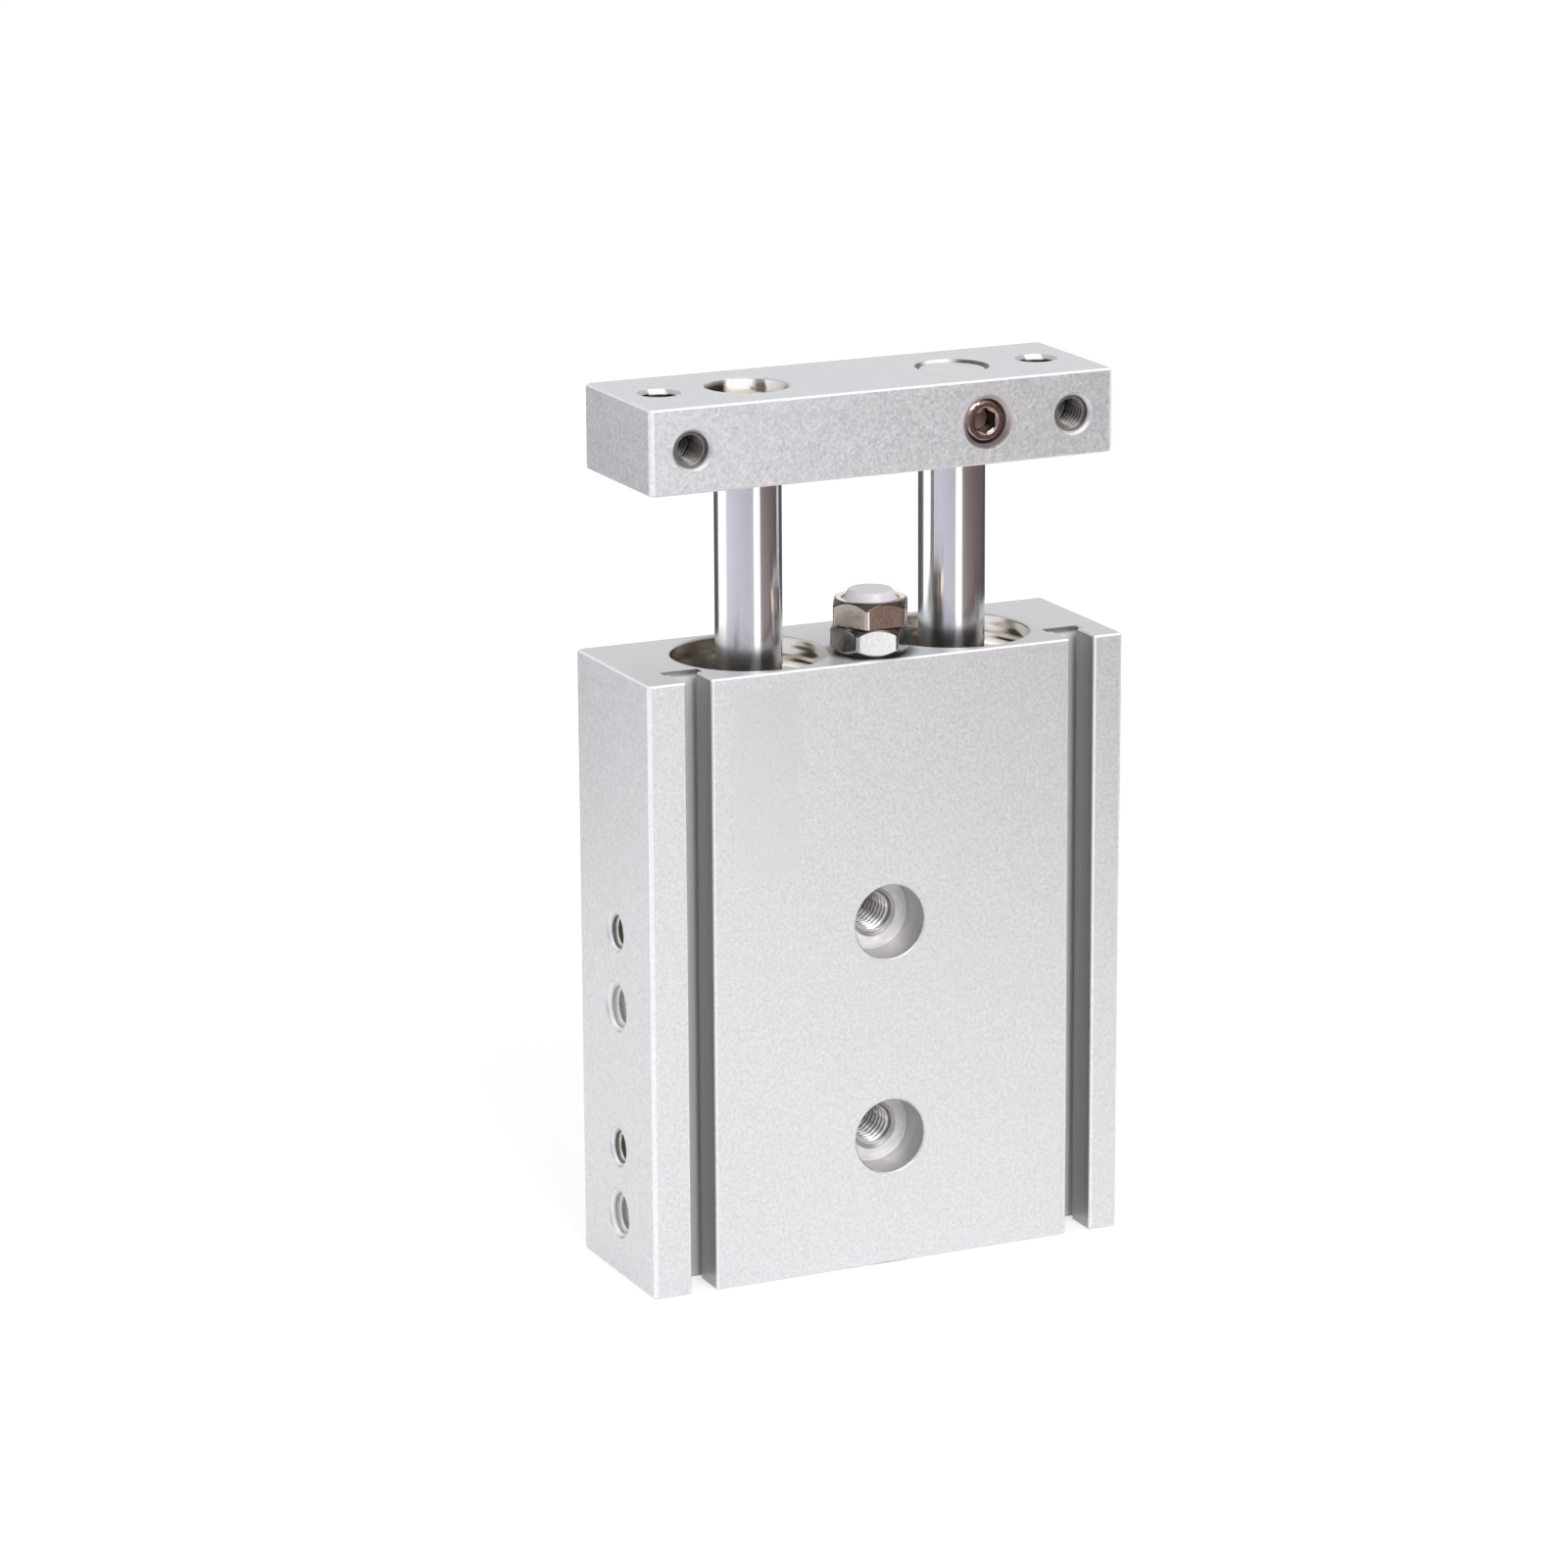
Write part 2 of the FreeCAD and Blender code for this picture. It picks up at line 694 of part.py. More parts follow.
def make_adjusting_bolt():
    """Hexagon bolt with a seat for the bumper in its head."""
    place = FreeCAD.Vector(0, adjuster_y, head_base)
    head = bevelled_hexagon(adjuster_flats, adjuster_head_height, place, 0.0, False)
    shank = adjuster_diameter / 2 - running_gap
    tip = -adjuster_shank
    profile = [(0, tip), (shank - thread_chamfer, tip), (shank, tip + thread_chamfer), (shank, 0), (0, 0)]
    seat_base = FreeCAD.Vector(0, adjuster_y, head_top - adjuster_bumper_seat)
    seat = Part.makeCylinder(adjuster_bumper_diameter / 2 + fit_gap, adjuster_bumper_seat, seat_base, UP)
    return head.fuse(turned(profile, place)).removeSplitter().cut(seat)


def make_adjuster_bumper():
    """Plastic button in the bolt's head that meets the end plate: a foot with a ledge, and a cone."""
    foot = adjuster_bumper_diameter / 2
    cone = foot - adjuster_bumper_ledge
    ledge = adjuster_bumper_seat - adjuster_bumper_ledge_inset
    top = adjuster_bumper_seat + adjuster_bumper_proud
    profile = [(0, 0), (foot, 0), (foot, ledge), (cone, ledge)]
    profile += [(cone - adjuster_bumper_chamfer, top), (0, top)]
    return turned(profile, FreeCAD.Vector(0, adjuster_y, head_top - adjuster_bumper_seat))


pieces = {
    "body": make_body(),
    "end_plate": make_end_plate(),
    "piston_rod_left": make_left_rod(),
    "piston_rod_right": make_right_rod(),
    "rod_bolt": make_rod_bolt(),
    "rod_set_screw": make_set_screw(),
    "lock_nut": make_lock_nut(),
    "adjusting_bolt": make_adjusting_bolt(),
    "adjuster_bumper": make_adjuster_bumper(),
}
for side_name, side_x in SIDES.items():
    pieces["rod_cover_" + side_name] = make_rod_cover(side_x)
    pieces["guide_bush_" + side_name] = make_guide_bush(side_x)
    pieces["rod_seal_" + side_name] = make_rod_seal(side_x)
    pieces["cover_o_ring_" + side_name] = make_o_ring(side_x, cover_groove_base)
    pieces["front_retaining_ring_" + side_name] = make_retaining_ring(side_x, cover_top)
    pieces["rear_cover_" + side_name] = make_rear_cover(side_x)
    pieces["rear_o_ring_" + side_name] = make_o_ring(side_x, rear_groove_base)
    pieces["rear_bumper_" + side_name] = make_rear_bumper(side_x)
    pieces["rear_retaining_ring_" + side_name] = make_retaining_ring(side_x, rear_ring_inset)
    pieces["piston_" + side_name] = make_piston(side_x)
    pieces["piston_seal_" + side_name] = make_piston_seal(side_x)
    pieces["piston_magnet_" + side_name] = make_piston_magnet(side_x)
    pieces["wear_ring_" + side_name] = make_wear_ring(side_x)
    pieces["front_bumper_" + side_name] = make_front_bumper(side_x)

os.makedirs("parts", exist_ok=True)
for name, shape in pieces.items():
    shape.exportStep("parts/" + name + ".step")
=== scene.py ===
import json
import math

import bpy
import numpy as np
from mathutils import Matrix, Vector


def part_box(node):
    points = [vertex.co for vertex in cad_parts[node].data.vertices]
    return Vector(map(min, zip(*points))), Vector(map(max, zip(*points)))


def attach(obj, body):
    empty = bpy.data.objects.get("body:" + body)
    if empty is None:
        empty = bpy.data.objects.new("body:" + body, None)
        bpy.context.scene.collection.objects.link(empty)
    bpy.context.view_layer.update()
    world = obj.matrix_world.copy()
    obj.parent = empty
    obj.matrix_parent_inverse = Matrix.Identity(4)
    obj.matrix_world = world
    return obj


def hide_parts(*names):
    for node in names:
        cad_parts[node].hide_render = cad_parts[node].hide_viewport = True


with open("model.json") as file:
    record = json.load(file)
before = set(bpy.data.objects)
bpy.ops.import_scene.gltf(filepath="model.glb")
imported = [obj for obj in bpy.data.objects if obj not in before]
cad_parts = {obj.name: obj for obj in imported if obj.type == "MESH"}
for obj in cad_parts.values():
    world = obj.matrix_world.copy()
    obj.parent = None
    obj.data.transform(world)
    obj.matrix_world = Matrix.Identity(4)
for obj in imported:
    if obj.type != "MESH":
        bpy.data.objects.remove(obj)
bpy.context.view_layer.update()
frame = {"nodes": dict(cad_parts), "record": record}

# Sizes are in millimetres, in the frame of the solids, and become metres when a mesh is made.
MM = 0.001
TURNS = 240
HEX_TURNS = 360
EASE_STEPS = 6
SHARP_ANGLE = math.radians(40)

# Housing and end plate: broken edges, slots, holes, and the place of a blank film on the front
BODY_EDGE = 0.4
PLATE_EDGE = 0.5
END_EDGE = 0.2
SLOT_X = 23.4
SLOT_SHIFT = 0.4
SLOT_MOUTH = 3.0
SLOT_LIP = 4.1
SLOT_BAR = 4.4
SLOT_DEPTH = 5.5
SLOT_ROUND = 0.3
ROD_X = 12.5
ROD_RADIUS = 3.75
RECESS_RADIUS = 9.0
MOUNT_HOLE_LOW = 15.0
MOUNT_HOLE_PITCH = 25.0
COUNTERBORE_RADIUS = 4.25
COUNTERBORE_DEPTH = 4.4
NUT_Y = -5.0
NUT_SHADOW_RADIUS = 5.0
PLATE_HOLE_X = 23.0
PLATE_HOLE_RADIUS = 2.45
PLATE_HOLE_HIGHLIGHT_SHIFT = 0.6
SET_SCREW_HOLE_RADIUS = 3.15
FILM_X = -15.0
FILM_Z = 57.4
FILM_WIDTH = 8.0
FILM_HEIGHT = 22.2

# Screw threads: pitch by outer diameter, and the share of the pitch that a thread is deep
M4 = 4.0
M5 = 5.0
THREAD_PITCH = {M4: 0.7, M5: 0.8}
THREAD_DEPTH = 0.54
THREAD_CHAMFER = 0.4
PORT_CHAMFER = 0.45
WALL_COVER = 0.03
SIDE_THREAD_LENGTH = 6.0
PLATE_FRONT_THREAD_LENGTH = 5.5
PORT_THREAD_LENGTH = 5.0

# Hexagons and screws
ADJUSTER_FLATS = 8.0
LOCK_NUT_TURN = -15.0
HEX_CORNER_POWER = 42
HEX_BEVEL_SLOPE = math.tan(math.radians(48.0))
SCREW_BREAK = 0.4
NUT_FACE = 3.84
NUT_HOLE_RADIUS = 2.5
HEAD_FACE = 3.92
ADJUSTER_SHANK_RADIUS = 2.45
BUMPER_SEAT_GAP = 0.02
BUMPER_SEAT_DEPTH = 1.0
ROD_BOLT_FLATS = 4.0
ROD_BOLT_HEAD = 5.0
ROD_BOLT_SHANK_RADIUS = 2.48
ROD_BOLT_SOCKET = 2.5
HEAD_BORE_RADIUS = 4.7
SET_SCREW_FLATS = 2.5
SET_SCREW_SOCKET = 2.2
SET_SCREW_LENGTH = 4.6
BUMPER_LEDGE = 0.22
BUMPER_FOOT = 0.8
BUMPER_RUN = 0.4
BUMPER_RIM = 0.3
KNURL_TEETH = 48
KNURL_DEPTH = 0.09

# The camera stands where the photograph was taken from
CAMERA_AZIMUTH = math.radians(-24.851)
CAMERA_ELEVATION = math.radians(14.765)
CAMERA_ROLL = math.radians(-0.322)
CAMERA_PLACE = (-0.27045, -0.56602, 0.21887)
CAMERA_LENS = 132.9
CAMERA_SENSOR = 36.0


def box(node):
    """Lowest and highest corner of a solid, in millimetres."""
    low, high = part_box(node)
    return np.array(low) / MM, np.array(high) / MM


def top_of(node):
    """Height of a solid's top, in millimetres."""
    return float(box(node)[1][2])


BODY_LOW, BODY_HIGH = box("body")
PLATE_LOW, PLATE_HIGH = box("end_plate")
MOUNTS = {mount["name"]: mount for mount in frame["record"]["mounts"]}


class Wire:
    """One output of a node tree. Arithmetic on it adds Math nodes, and node() adds any other node."""

    def __init__(self, tree, socket=None):
        self.tree = tree
        self.socket = socket

    def node(self, kind, settings=None, inputs=None, output=0):
        """Adds a node: its settings first, then values or wires into its sockets. Returns one output."""
        made = self.tree.nodes.new(kind)
        for name, value in (settings or {}).items():
            if name == "stops":
                set_stops(made.color_ramp, value)
            else:
                setattr(made, name, value)
        for name, value in (inputs or {}).items():
            if isinstance(value, Wire):
                self.tree.links.new(value.socket, made.inputs[name])
            else:
                made.inputs[name].default_value = value
        return Wire(self.tree, made.outputs[output])

    def math(self, operation, *values):
        return self.node("ShaderNodeMath", {"operation": operation}, dict(enumerate(values)))

    def __add__(self, other):
        return self.math("ADD", self, other)

    def __sub__(self, other):
        return self.math("SUBTRACT", self, other)

    def __rsub__(self, other):
        return self.math("SUBTRACT", other, self)

    def __mul__(self, other):
        return self.math("MULTIPLY", self, other)

    def __truediv__(self, other):
        return self.math("DIVIDE", self, other)

    def __abs__(self):
        return self.math("ABSOLUTE", self)

    __radd__ = __add__
    __rmul__ = __mul__

    def over(self, edge, soft=0.05):
        """1 where the value is above the edge and 0 below it, over a soft step."""
        return self.node(
            "ShaderNodeMapRange",
            {"interpolation_type": "SMOOTHSTEP"},
            {"Value": self, "From Min": edge - soft / 2, "From Max": edge + soft / 2},
        )

    def under(self, edge, soft=0.05):
        return 1 - self.over(edge, soft)

    def most(self, other):
        return self.math("MAXIMUM", self, other)

    def length(self, other):
        """Length of the line across two sizes at a right angle."""
        return self.math("SQRT", self * self + other * other)

    def mix(self, low, high):
        """Colour between low, where this value is 0, and high, where it is 1."""
        return self.node(
            "ShaderNodeMix", {"data_type": "RGBA"}, {0: self, 6: low, 7: high}, 2
        )

    def noise(self, place, scale, detail=2.0):
        """Cloudy value from 0 to 1 at a place in millimetres, with scale features to the millimetre."""
        return self.node(
            "ShaderNodeTexNoise", None, {"Vector": place, "Scale": scale, "Detail": detail}
        )

    def stretched(self, place, scales):
        """The place with each axis scaled by itself, for lines along one direction."""
        return self.node(
            "ShaderNodeVectorMath", {"operation": "MULTIPLY"}, {0: place, 1: scales}
        )

    def cells(self, place, scale):
        """A random value for each of the small cells that fill the space."""
        cell = self.node("ShaderNodeTexVoronoi", None, {"Vector": place, "Scale": scale}, 1)
        return self.node("ShaderNodeRGBToBW", None, {0: cell})

    def bump(self, distance, strength=1.0):
        """Normal of a surface raised by this height, with the distance in millimetres."""
        return self.node(
            "ShaderNodeBump", None, {"Height": self, "Distance": distance * MM, "Strength": strength}
        )


def set_stops(ramp, stops):
    """Gives a colour ramp its stops, as a list of place and colour."""
    while len(ramp.elements) > 1:
        ramp.elements.remove(ramp.elements[-1])
    ramp.elements[0].position, ramp.elements[0].color = stops[0]
    for place, colour in stops[1:]:
        ramp.elements.new(place).color = colour


def grey(level, warmth=0.0):
    """A grey, as a linear colour, tinted warm for a positive warmth and cool for a negative one."""
    return (level * (1 + warmth), level, level * (1 - warmth), 1.0)


class Finish:
    """A material under way: the principled shader, the place in millimetres and its three parts."""

    def __init__(self, name):
        self.material = bpy.data.materials.new(name)
        self.material.use_nodes = True
        tree = self.material.node_tree
        self.shader = tree.nodes["Principled BSDF"]
        self.start = Wire(tree)
        coords = self.start.node("ShaderNodeTexCoord", output=3)
        self.place = self.start.node(
            "ShaderNodeVectorMath", {"operation": "SCALE"}, {0: coords, "Scale": 1 / MM}
        )
        self.x, self.y, self.z = (
            self.start.node("ShaderNodeSeparateXYZ", None, {0: self.place}, i) for i in range(3)
        )

    def set(self, **sockets):
        """Sets the shader's sockets, named with _ for a space, to values or wires. Returns the material."""
        for name, value in sockets.items():
            socket = self.shader.inputs[name.replace("_", " ")]
            if isinstance(value, Wire):
                self.start.tree.links.new(value.socket, socket)
            else:
                socket.default_value = value
        return self.material

    def blend(self, mask, other):
        """Shows another shader where the mask is 1."""
        tree = self.start.tree
        mixed = self.start.node(
            "ShaderNodeMixShader", None, {0: mask, 1: Wire(tree, self.shader.outputs[0]), 2: other}
        )
        tree.links.new(mixed.socket, tree.nodes["Material Output"].inputs["Surface"])


def blasted_grain(finish):
    """Grain of a bead-blasted and anodised face, about zero: clouds of 0.4 mm and single facets."""
    cloud = finish.start.noise(finish.place, 2.6)
    facets = finish.start.cells(finish.place, 3.4)
    fine = finish.start.noise(finish.place, 7.0, 1.0)
    return cloud * 1.1 + facets * 0.35 + fine * 0.5 - 0.975


def box_masks(finish, low, high, corner_break):
    """Masks for a block with broken corners and ends: its outer skin, its bevels, its sides and its ends."""
    middle, half = (low + high) / 2, (high - low) / 2

    def near(axis, reach):
        value = (finish.x, finish.y, finish.z)[axis]
        return abs(value - float(middle[axis])).over(float(half[axis]) - reach - 0.01, 0.04)

    sides, faces, ends = (near(axis, END_EDGE) for axis in range(3))
    edge = (sides.most(faces) * ends).most(near(0, corner_break) * near(1, corner_break))
    return sides.most(faces).most(ends).most(edge), edge, sides, ends


def anodised_housing():
    """Clear-anodised extrusion: blasted outside, drawn lines in the slots, tool marks in the holes and
    turned recesses round the rods. Painted highlights lie on the broken edges, slot lips, left side hole
    rims, slot floors, counterbore floors and the recess walls right of the rods; painted shade lies in
    the slots, recesses and counterbores, and a painted shadow ring lies under the lock nut."""
    f = Finish("clear_anodised_housing")
    outer, edge, _, ends = box_masks(f, BODY_LOW, BODY_HIGH, BODY_EDGE)
    front = float(BODY_LOW[1])
    deep = f.y - front
    from_slot = abs(abs(f.x - SLOT_SHIFT) - SLOT_X)
    lip = from_slot.under(SLOT_MOUTH / 2 + SLOT_ROUND) * deep.under(SLOT_ROUND)
    bar = from_slot.under(SLOT_BAR / 2 + 0.04) * abs(deep - (SLOT_LIP + SLOT_DEPTH) / 2).under(
        (SLOT_DEPTH - SLOT_LIP) / 2 + 0.04
    )
    mouth = from_slot.under(SLOT_MOUTH / 2 + 0.04) * abs(deep - SLOT_LIP / 2).under(SLOT_LIP / 2)
    slot = bar.most(mouth * (1 - lip))
    # Painted light: the slot floor seen through the mouth is brightened
    lit_slot_floor = slot * deep.over(SLOT_DEPTH - 0.1) * f.z.under(float(BODY_HIGH[2]) - 0.6, 0.6)
    from_rod = f.x - ROD_X * f.x.math("SIGN", f.x)
    recess = from_rod.length(f.y).under(RECESS_RADIUS + 0.3) * (1 - outer)
    # Painted light: the recess wall to the right of each rod is brightened as if lit
    painted_lit_wall = recess * (from_rod + 0.5 * f.y).over(4.5, 5.0)
    # Painted shade on the front part of each recess
    front_wall_shade = recess * f.y.under(-1.0, 4.0)
    # Painted shadow: brown patches along the lit recess wall
    round_rod = f.x.math("ARCTAN2", from_rod, f.y)
    wall_place = {0: round_rod * 1.3, 1: f.z * 0.8, 2: f.x * 0.01}
    painted_shadow_patches = f.start.noise(f.start.node("ShaderNodeCombineXYZ", None, wall_place), 1.0, 1.0).over(0.56, 0.14)
    half_pitch = MOUNT_HOLE_PITCH / 2
    from_mount = abs(f.z - MOUNT_HOLE_LOW - half_pitch) - half_pitch
    from_hole = f.x.length(from_mount)
    round_hole = f.x.math("ARCTAN2", f.x, from_mount)
    hole_place = {0: round_hole * 1.6, 1: from_hole * 1.4, 2: f.y * 0.8}
    streak = f.start.noise(f.start.node("ShaderNodeCombineXYZ", None, hole_place), 1.0, 3.0)
    # Painted highlights in streaks on the counterbore floors, and painted shade on their walls, lighter in
    # streaks and darker near the mouth
    seat = abs(abs(f.y) + front + COUNTERBORE_DEPTH).under(0.1) * from_hole.under(COUNTERBORE_RADIUS - 0.05)
    shaded_bore_wall = abs(from_hole - COUNTERBORE_RADIUS).under(0.1) * (1 - outer)
    # Painted shadow: a dark ring on the top face round the lock nut
    nut_shadow = ends * f.x.length(f.y - NUT_Y).under(NUT_SHADOW_RADIUS, 1.6)
    film = abs(f.x - FILM_X).under(FILM_WIDTH / 2) * abs(f.z - FILM_Z).under(FILM_HEIGHT / 2)
    film = film * deep.under(0.1)
    grain = blasted_grain(f) * outer * (1 - 0.5 * film) * (1 - 0.6 * ends)
    drawn = f.start.noise(f.start.stretched(f.place, (4.0, 4.0, 0.03)), 1.0, 3.0)
    depth = f.y * (abs(f.x).under(5.0)) + f.x * f.x.under(-21.5) + f.z * abs(f.x).over(5.0) * f.x.over(-21.5)
    marks = f.start.noise(f.start.node("ShaderNodeCombineXYZ", None, {0: depth * 7.0}), 1.0, 3.0)
    cut = (1 - outer) * (1 - slot)
    # Painted highlight on the rims of the holes in the left side face
    lit_side_rim = cut * f.x.under(float(BODY_LOW[0]) + 0.7)
    # Painted highlights on the broken edges and the slot lips
    level = 0.69 + 0.22 * grain + 0.01 * film + 0.28 * edge + 0.12 * lip - 0.09 * ends - 0.5 * nut_shadow
    # Painted shade in the T-slots, and a painted pool of light on their floors
    level = level - slot * (0.38 - 0.1 * drawn) + 0.42 * lit_slot_floor - cut * (0.1 - 0.12 * marks)
    # Painted shade in the recesses round the rods, more on their front walls, and a painted lit wall right of
    # each rod broken by painted shadow patches
    level = level + 0.4 * lit_side_rim - 0.3 * recess + painted_lit_wall * (0.92 - 1.2 * painted_shadow_patches) - 0.2 * front_wall_shade
    level = level + seat * (0.56 * streak - 0.1)
    level = level - shaded_bore_wall * (0.26 - 0.3 * streak + 0.08 * deep.under(1.0, 1.6))
    warm = 0.1 * recess - painted_lit_wall * (0.06 - 0.12 * painted_shadow_patches) + 0.03 * lit_slot_floor + 0.02 * (seat + shaded_bore_wall)
    colour = f.start.node(
        "ShaderNodeCombineColor", None, {0: level * (1 + warm), 1: level, 2: level * (1.025 - 1.4 * warm)}
    )
    rough = 0.46 - 0.05 * film + 0.1 * grain - 0.12 * (1 - outer) - 0.1 * edge - 0.16 * recess + 0.2 * painted_lit_wall
    height = grain * 0.6 + drawn * slot + marks * cut
    metallic = 0.85 + 0.15 * recess - 0.6 * edge - 0.75 * lit_slot_floor - 0.9 * painted_lit_wall
    metallic = metallic - 0.6 * seat - 0.4 * shaded_bore_wall - 0.6 * lit_side_rim
    return f.set(Base_Color=colour, Roughness=rough, Metallic=metallic, Normal=height.bump(0.035))


# Painted highlight on the plate's counterbore wall: its share by angle from the back to the right
WALL_HIGHLIGHTS = [(-1.2, 0), (-0.2, 0), (-0.02, 0.6), (0.1, 1), (0.5, 1), (0.62, 0.25), (0.85, 0.15)]
WALL_HIGHLIGHTS += [(0.97, 1), (1.4, 1), (1.6, 0.4)]


def anodised_plate():
    """Clear-anodised block: blasted faces, holes darker than the faces, and painted light and shade:
    highlights on the broken edges and in the top holes, shade on the side faces and in the holes, a
    darker pinkish-brown tint in the set screw's hole, and a screw's counterbore with painted highlights
    in patches round its wall and painted shade below its rim."""
    f = Finish("clear_anodised_plate")
    outer, edge, sides, ends = box_masks(f, PLATE_LOW, PLATE_HIGH, PLATE_EDGE)
    grain = blasted_grain(f) * outer * (1 - 0.5 * ends)
    marks = f.start.noise(f.start.stretched(f.place, (2.0, 2.0, 8.0)), 1.0, 3.0)
    from_end = (f.x - ROD_X).length(f.y)
    top, front = float(PLATE_HIGH[2]), float(PLATE_LOW[1])
    # Painted shade in the gap round the rod's end, darkest at its left and right ends and turning to a
    # painted highlight across its middle
    groove_shading = from_end.under(ROD_RADIUS + 0.42) * f.z.over(top - 0.45)
    groove_shading = groove_shading * (2.4 * abs(f.x - ROD_X).over(1.9, 1.8) - 0.8)
    from_screw = (f.x + ROD_X).length(f.y)
    wall = abs(from_screw - HEAD_BORE_RADIUS).under(0.2) * (1 - outer)
    around = f.x.math("ARCTAN2", f.x + ROD_X, f.y)
    stops = [(angle / (2 * math.pi) + 0.5, grey(share)) for angle, share in WALL_HIGHLIGHTS]
    wander = f.start.noise(f.place, 0.8, 2.0) - 0.5
    wall_highlight = wall * f.start.node(
        "ShaderNodeValToRGB", {"stops": stops}, {0: (around + 0.55 * wander) / (2 * math.pi) + 0.5}
    )
    # Painted shade on the counterbore wall below its rim
    sunk_shade = wall * f.z.under(top - 0.5, 0.7)
    # Painted shade in the top holes, and a painted highlight on a band just off their middle
    from_tapped = f.x - PLATE_HOLE_X * f.x.math("SIGN", f.x)
    tapped = from_tapped.length(f.y).under(PLATE_HOLE_RADIUS) * f.z.over(top - 1.0)
    hole_highlight = tapped * abs(from_tapped - PLATE_HOLE_HIGHLIGHT_SHIFT).under(0.9, 0.4)
    middle_z = float(PLATE_LOW[2] + PLATE_HIGH[2]) / 2
    # The set screw's hole wall is darker with a pinkish-brown tint, and darker again at its bottom as painted
    # shadow
    screw_hole_tint = (f.x - ROD_X).length(f.z - middle_z).under(SET_SCREW_HOLE_RADIUS)
    screw_hole_tint = screw_hole_tint * f.y.over(front + 0.05) * f.y.under(-4.0)
    screw_hole_low_shadow = screw_hole_tint * (f.z - middle_z).under(-0.6, 3.0)
    # Painted shade inside the plate's front holes
    front_hole_shade = from_tapped.length(f.z - middle_z).under(PLATE_HOLE_RADIUS)
    front_hole_shade = front_hole_shade * f.y.over(front + 0.5, 0.3) * f.y.under(-2.0)
    # Painted highlight on the broken edges and painted shade on the side faces
    level = 0.68 + 0.3 * grain + 0.3 * edge - 0.1 * sides - 0.07 * ends - (1 - outer) * (0.2 - 0.12 * marks)
    level = level - 0.3 * groove_shading - 0.5 * sunk_shade + wall_highlight * (0.55 + 0.5 * sunk_shade) - 0.12 * tapped
    level = level + 0.55 * hole_highlight - 0.12 * screw_hole_tint - 0.3 * screw_hole_low_shadow - 0.32 * front_hole_shade
    warm = 0.18 * sunk_shade - 0.15 * wall_highlight * sunk_shade + 0.04 * screw_hole_tint + 0.04 * front_hole_shade
    red = level * (0.995 + warm + 0.1 * screw_hole_tint)
    colour = f.start.node("ShaderNodeCombineColor", None, {0: red, 1: level, 2: level * (1.035 - warm)})
    rough = 0.46 + 0.1 * grain - 0.16 * (1 - outer) - 0.1 * edge
    height = grain * 0.6 + marks * (1 - outer)
    metallic = 0.85 - 0.6 * edge - 0.85 * wall_highlight - 0.6 * screw_hole_tint - 0.8 * hole_highlight
    return f.set(Base_Color=colour, Roughness=rough, Metallic=metallic, Normal=height.bump(0.035))


def cut_aluminium(name, level, warmth):
    """Cut metal of the covers, with fine lines and stains."""
    f = Finish(name)
    stain = f.start.noise(f.place, 0.9, 3.0)
    fine = f.start.noise(f.place, 9.0, 1.0)
    colour = stain.mix(grey(level * 0.9, warmth), grey(level * 1.1, warmth * 0.6))
    return f.set(Base_Color=colour, Roughness=0.22 + 0.12 * fine, Metallic=1.0, Normal=fine.bump(0.006))


def cut_thread(name, root, crest, metallic):
    """Cut thread: crests lighter than the roots, as a painted highlight on the crests and painted shade in
    the roots, with stains.
    """
    f = Finish(name)
    raised = f.start.node("ShaderNodeAttribute", {"attribute_name": "crest"}, output=2).over(0.55, 0.5)
    stain = f.start.noise(f.place, 0.9, 3.0)
    fine = f.start.noise(f.place, 9.0, 1.0)
    colour = (raised * (0.75 + 0.5 * stain)).mix(root, crest)
    return f.set(Base_Color=colour, Roughness=0.24 + 0.12 * fine, Metallic=metallic, Normal=fine.bump(0.006))


def lit_and_shaded_thread():
    """Threads through the end plate: a painted highlight in the middle near the top, and near-black painted
    shade elsewhere.
    """
    f = Finish("lit_and_shaded_thread")
    from_middle = f.x - PLATE_HOLE_X * f.x.math("SIGN", f.x)
    hole_highlight = abs(from_middle - PLATE_HOLE_HIGHLIGHT_SHIFT).under(0.9, 0.4)
    hole_highlight = hole_highlight * f.z.over(float(PLATE_HIGH[2]) - 0.55, 0.15)
    fine = f.start.noise(f.place, 9.0, 1.0)
    return f.set(
        Base_Color=hole_highlight.mix(grey(0.05, 0.2), grey(0.95, 0.04)),
        Roughness=0.4 + 0.12 * fine,
        Metallic=1 - 0.9 * hole_highlight,
        Normal=fine.bump(0.006),
    )


def ground_chrome():
    """Hard chrome, ground round the rod: the fine rings spread reflections along the rod. The end face
    is plain cut steel with a dark bevel."""
    f = Finish("ground_chrome")
    rings = f.start.noise(f.start.stretched(f.place, (0.25, 0.25, 18.0)), 1.0, 2.0)
    cloud = f.start.noise(f.place, 0.5, 2.0)
    end = f.z.over(float(PLATE_HIGH[2]) - 1.0)
    bevel = end * (abs(f.x) - ROD_X).length(f.y).over(ROD_RADIUS - 0.1)
    steel = f.start.node(
        "ShaderNodeBsdfPrincipled",
        None,
        {"Base Color": bevel.mix(grey(0.62), grey(0.25, 0.04)), "Roughness": 0.45, "Metallic": 0.3},
    )
    f.blend(end, steel)
    return f.set(
        Base_Color=cloud.mix(grey(0.8, -0.012), grey(0.86, -0.008)),
        Roughness=0.13 + 0.03 * rings,
        Metallic=1.0,
        Anisotropic=1.0,
        Anisotropic_Rotation=0.25,
        Normal=rings.bump(0.0006),
    )


NO_BEVEL = 1000.0
# Painted shade on the bevels of hexagons, as a share of the plating's level
BEVEL_SHADE = (0.125, 0.098, 0.088)


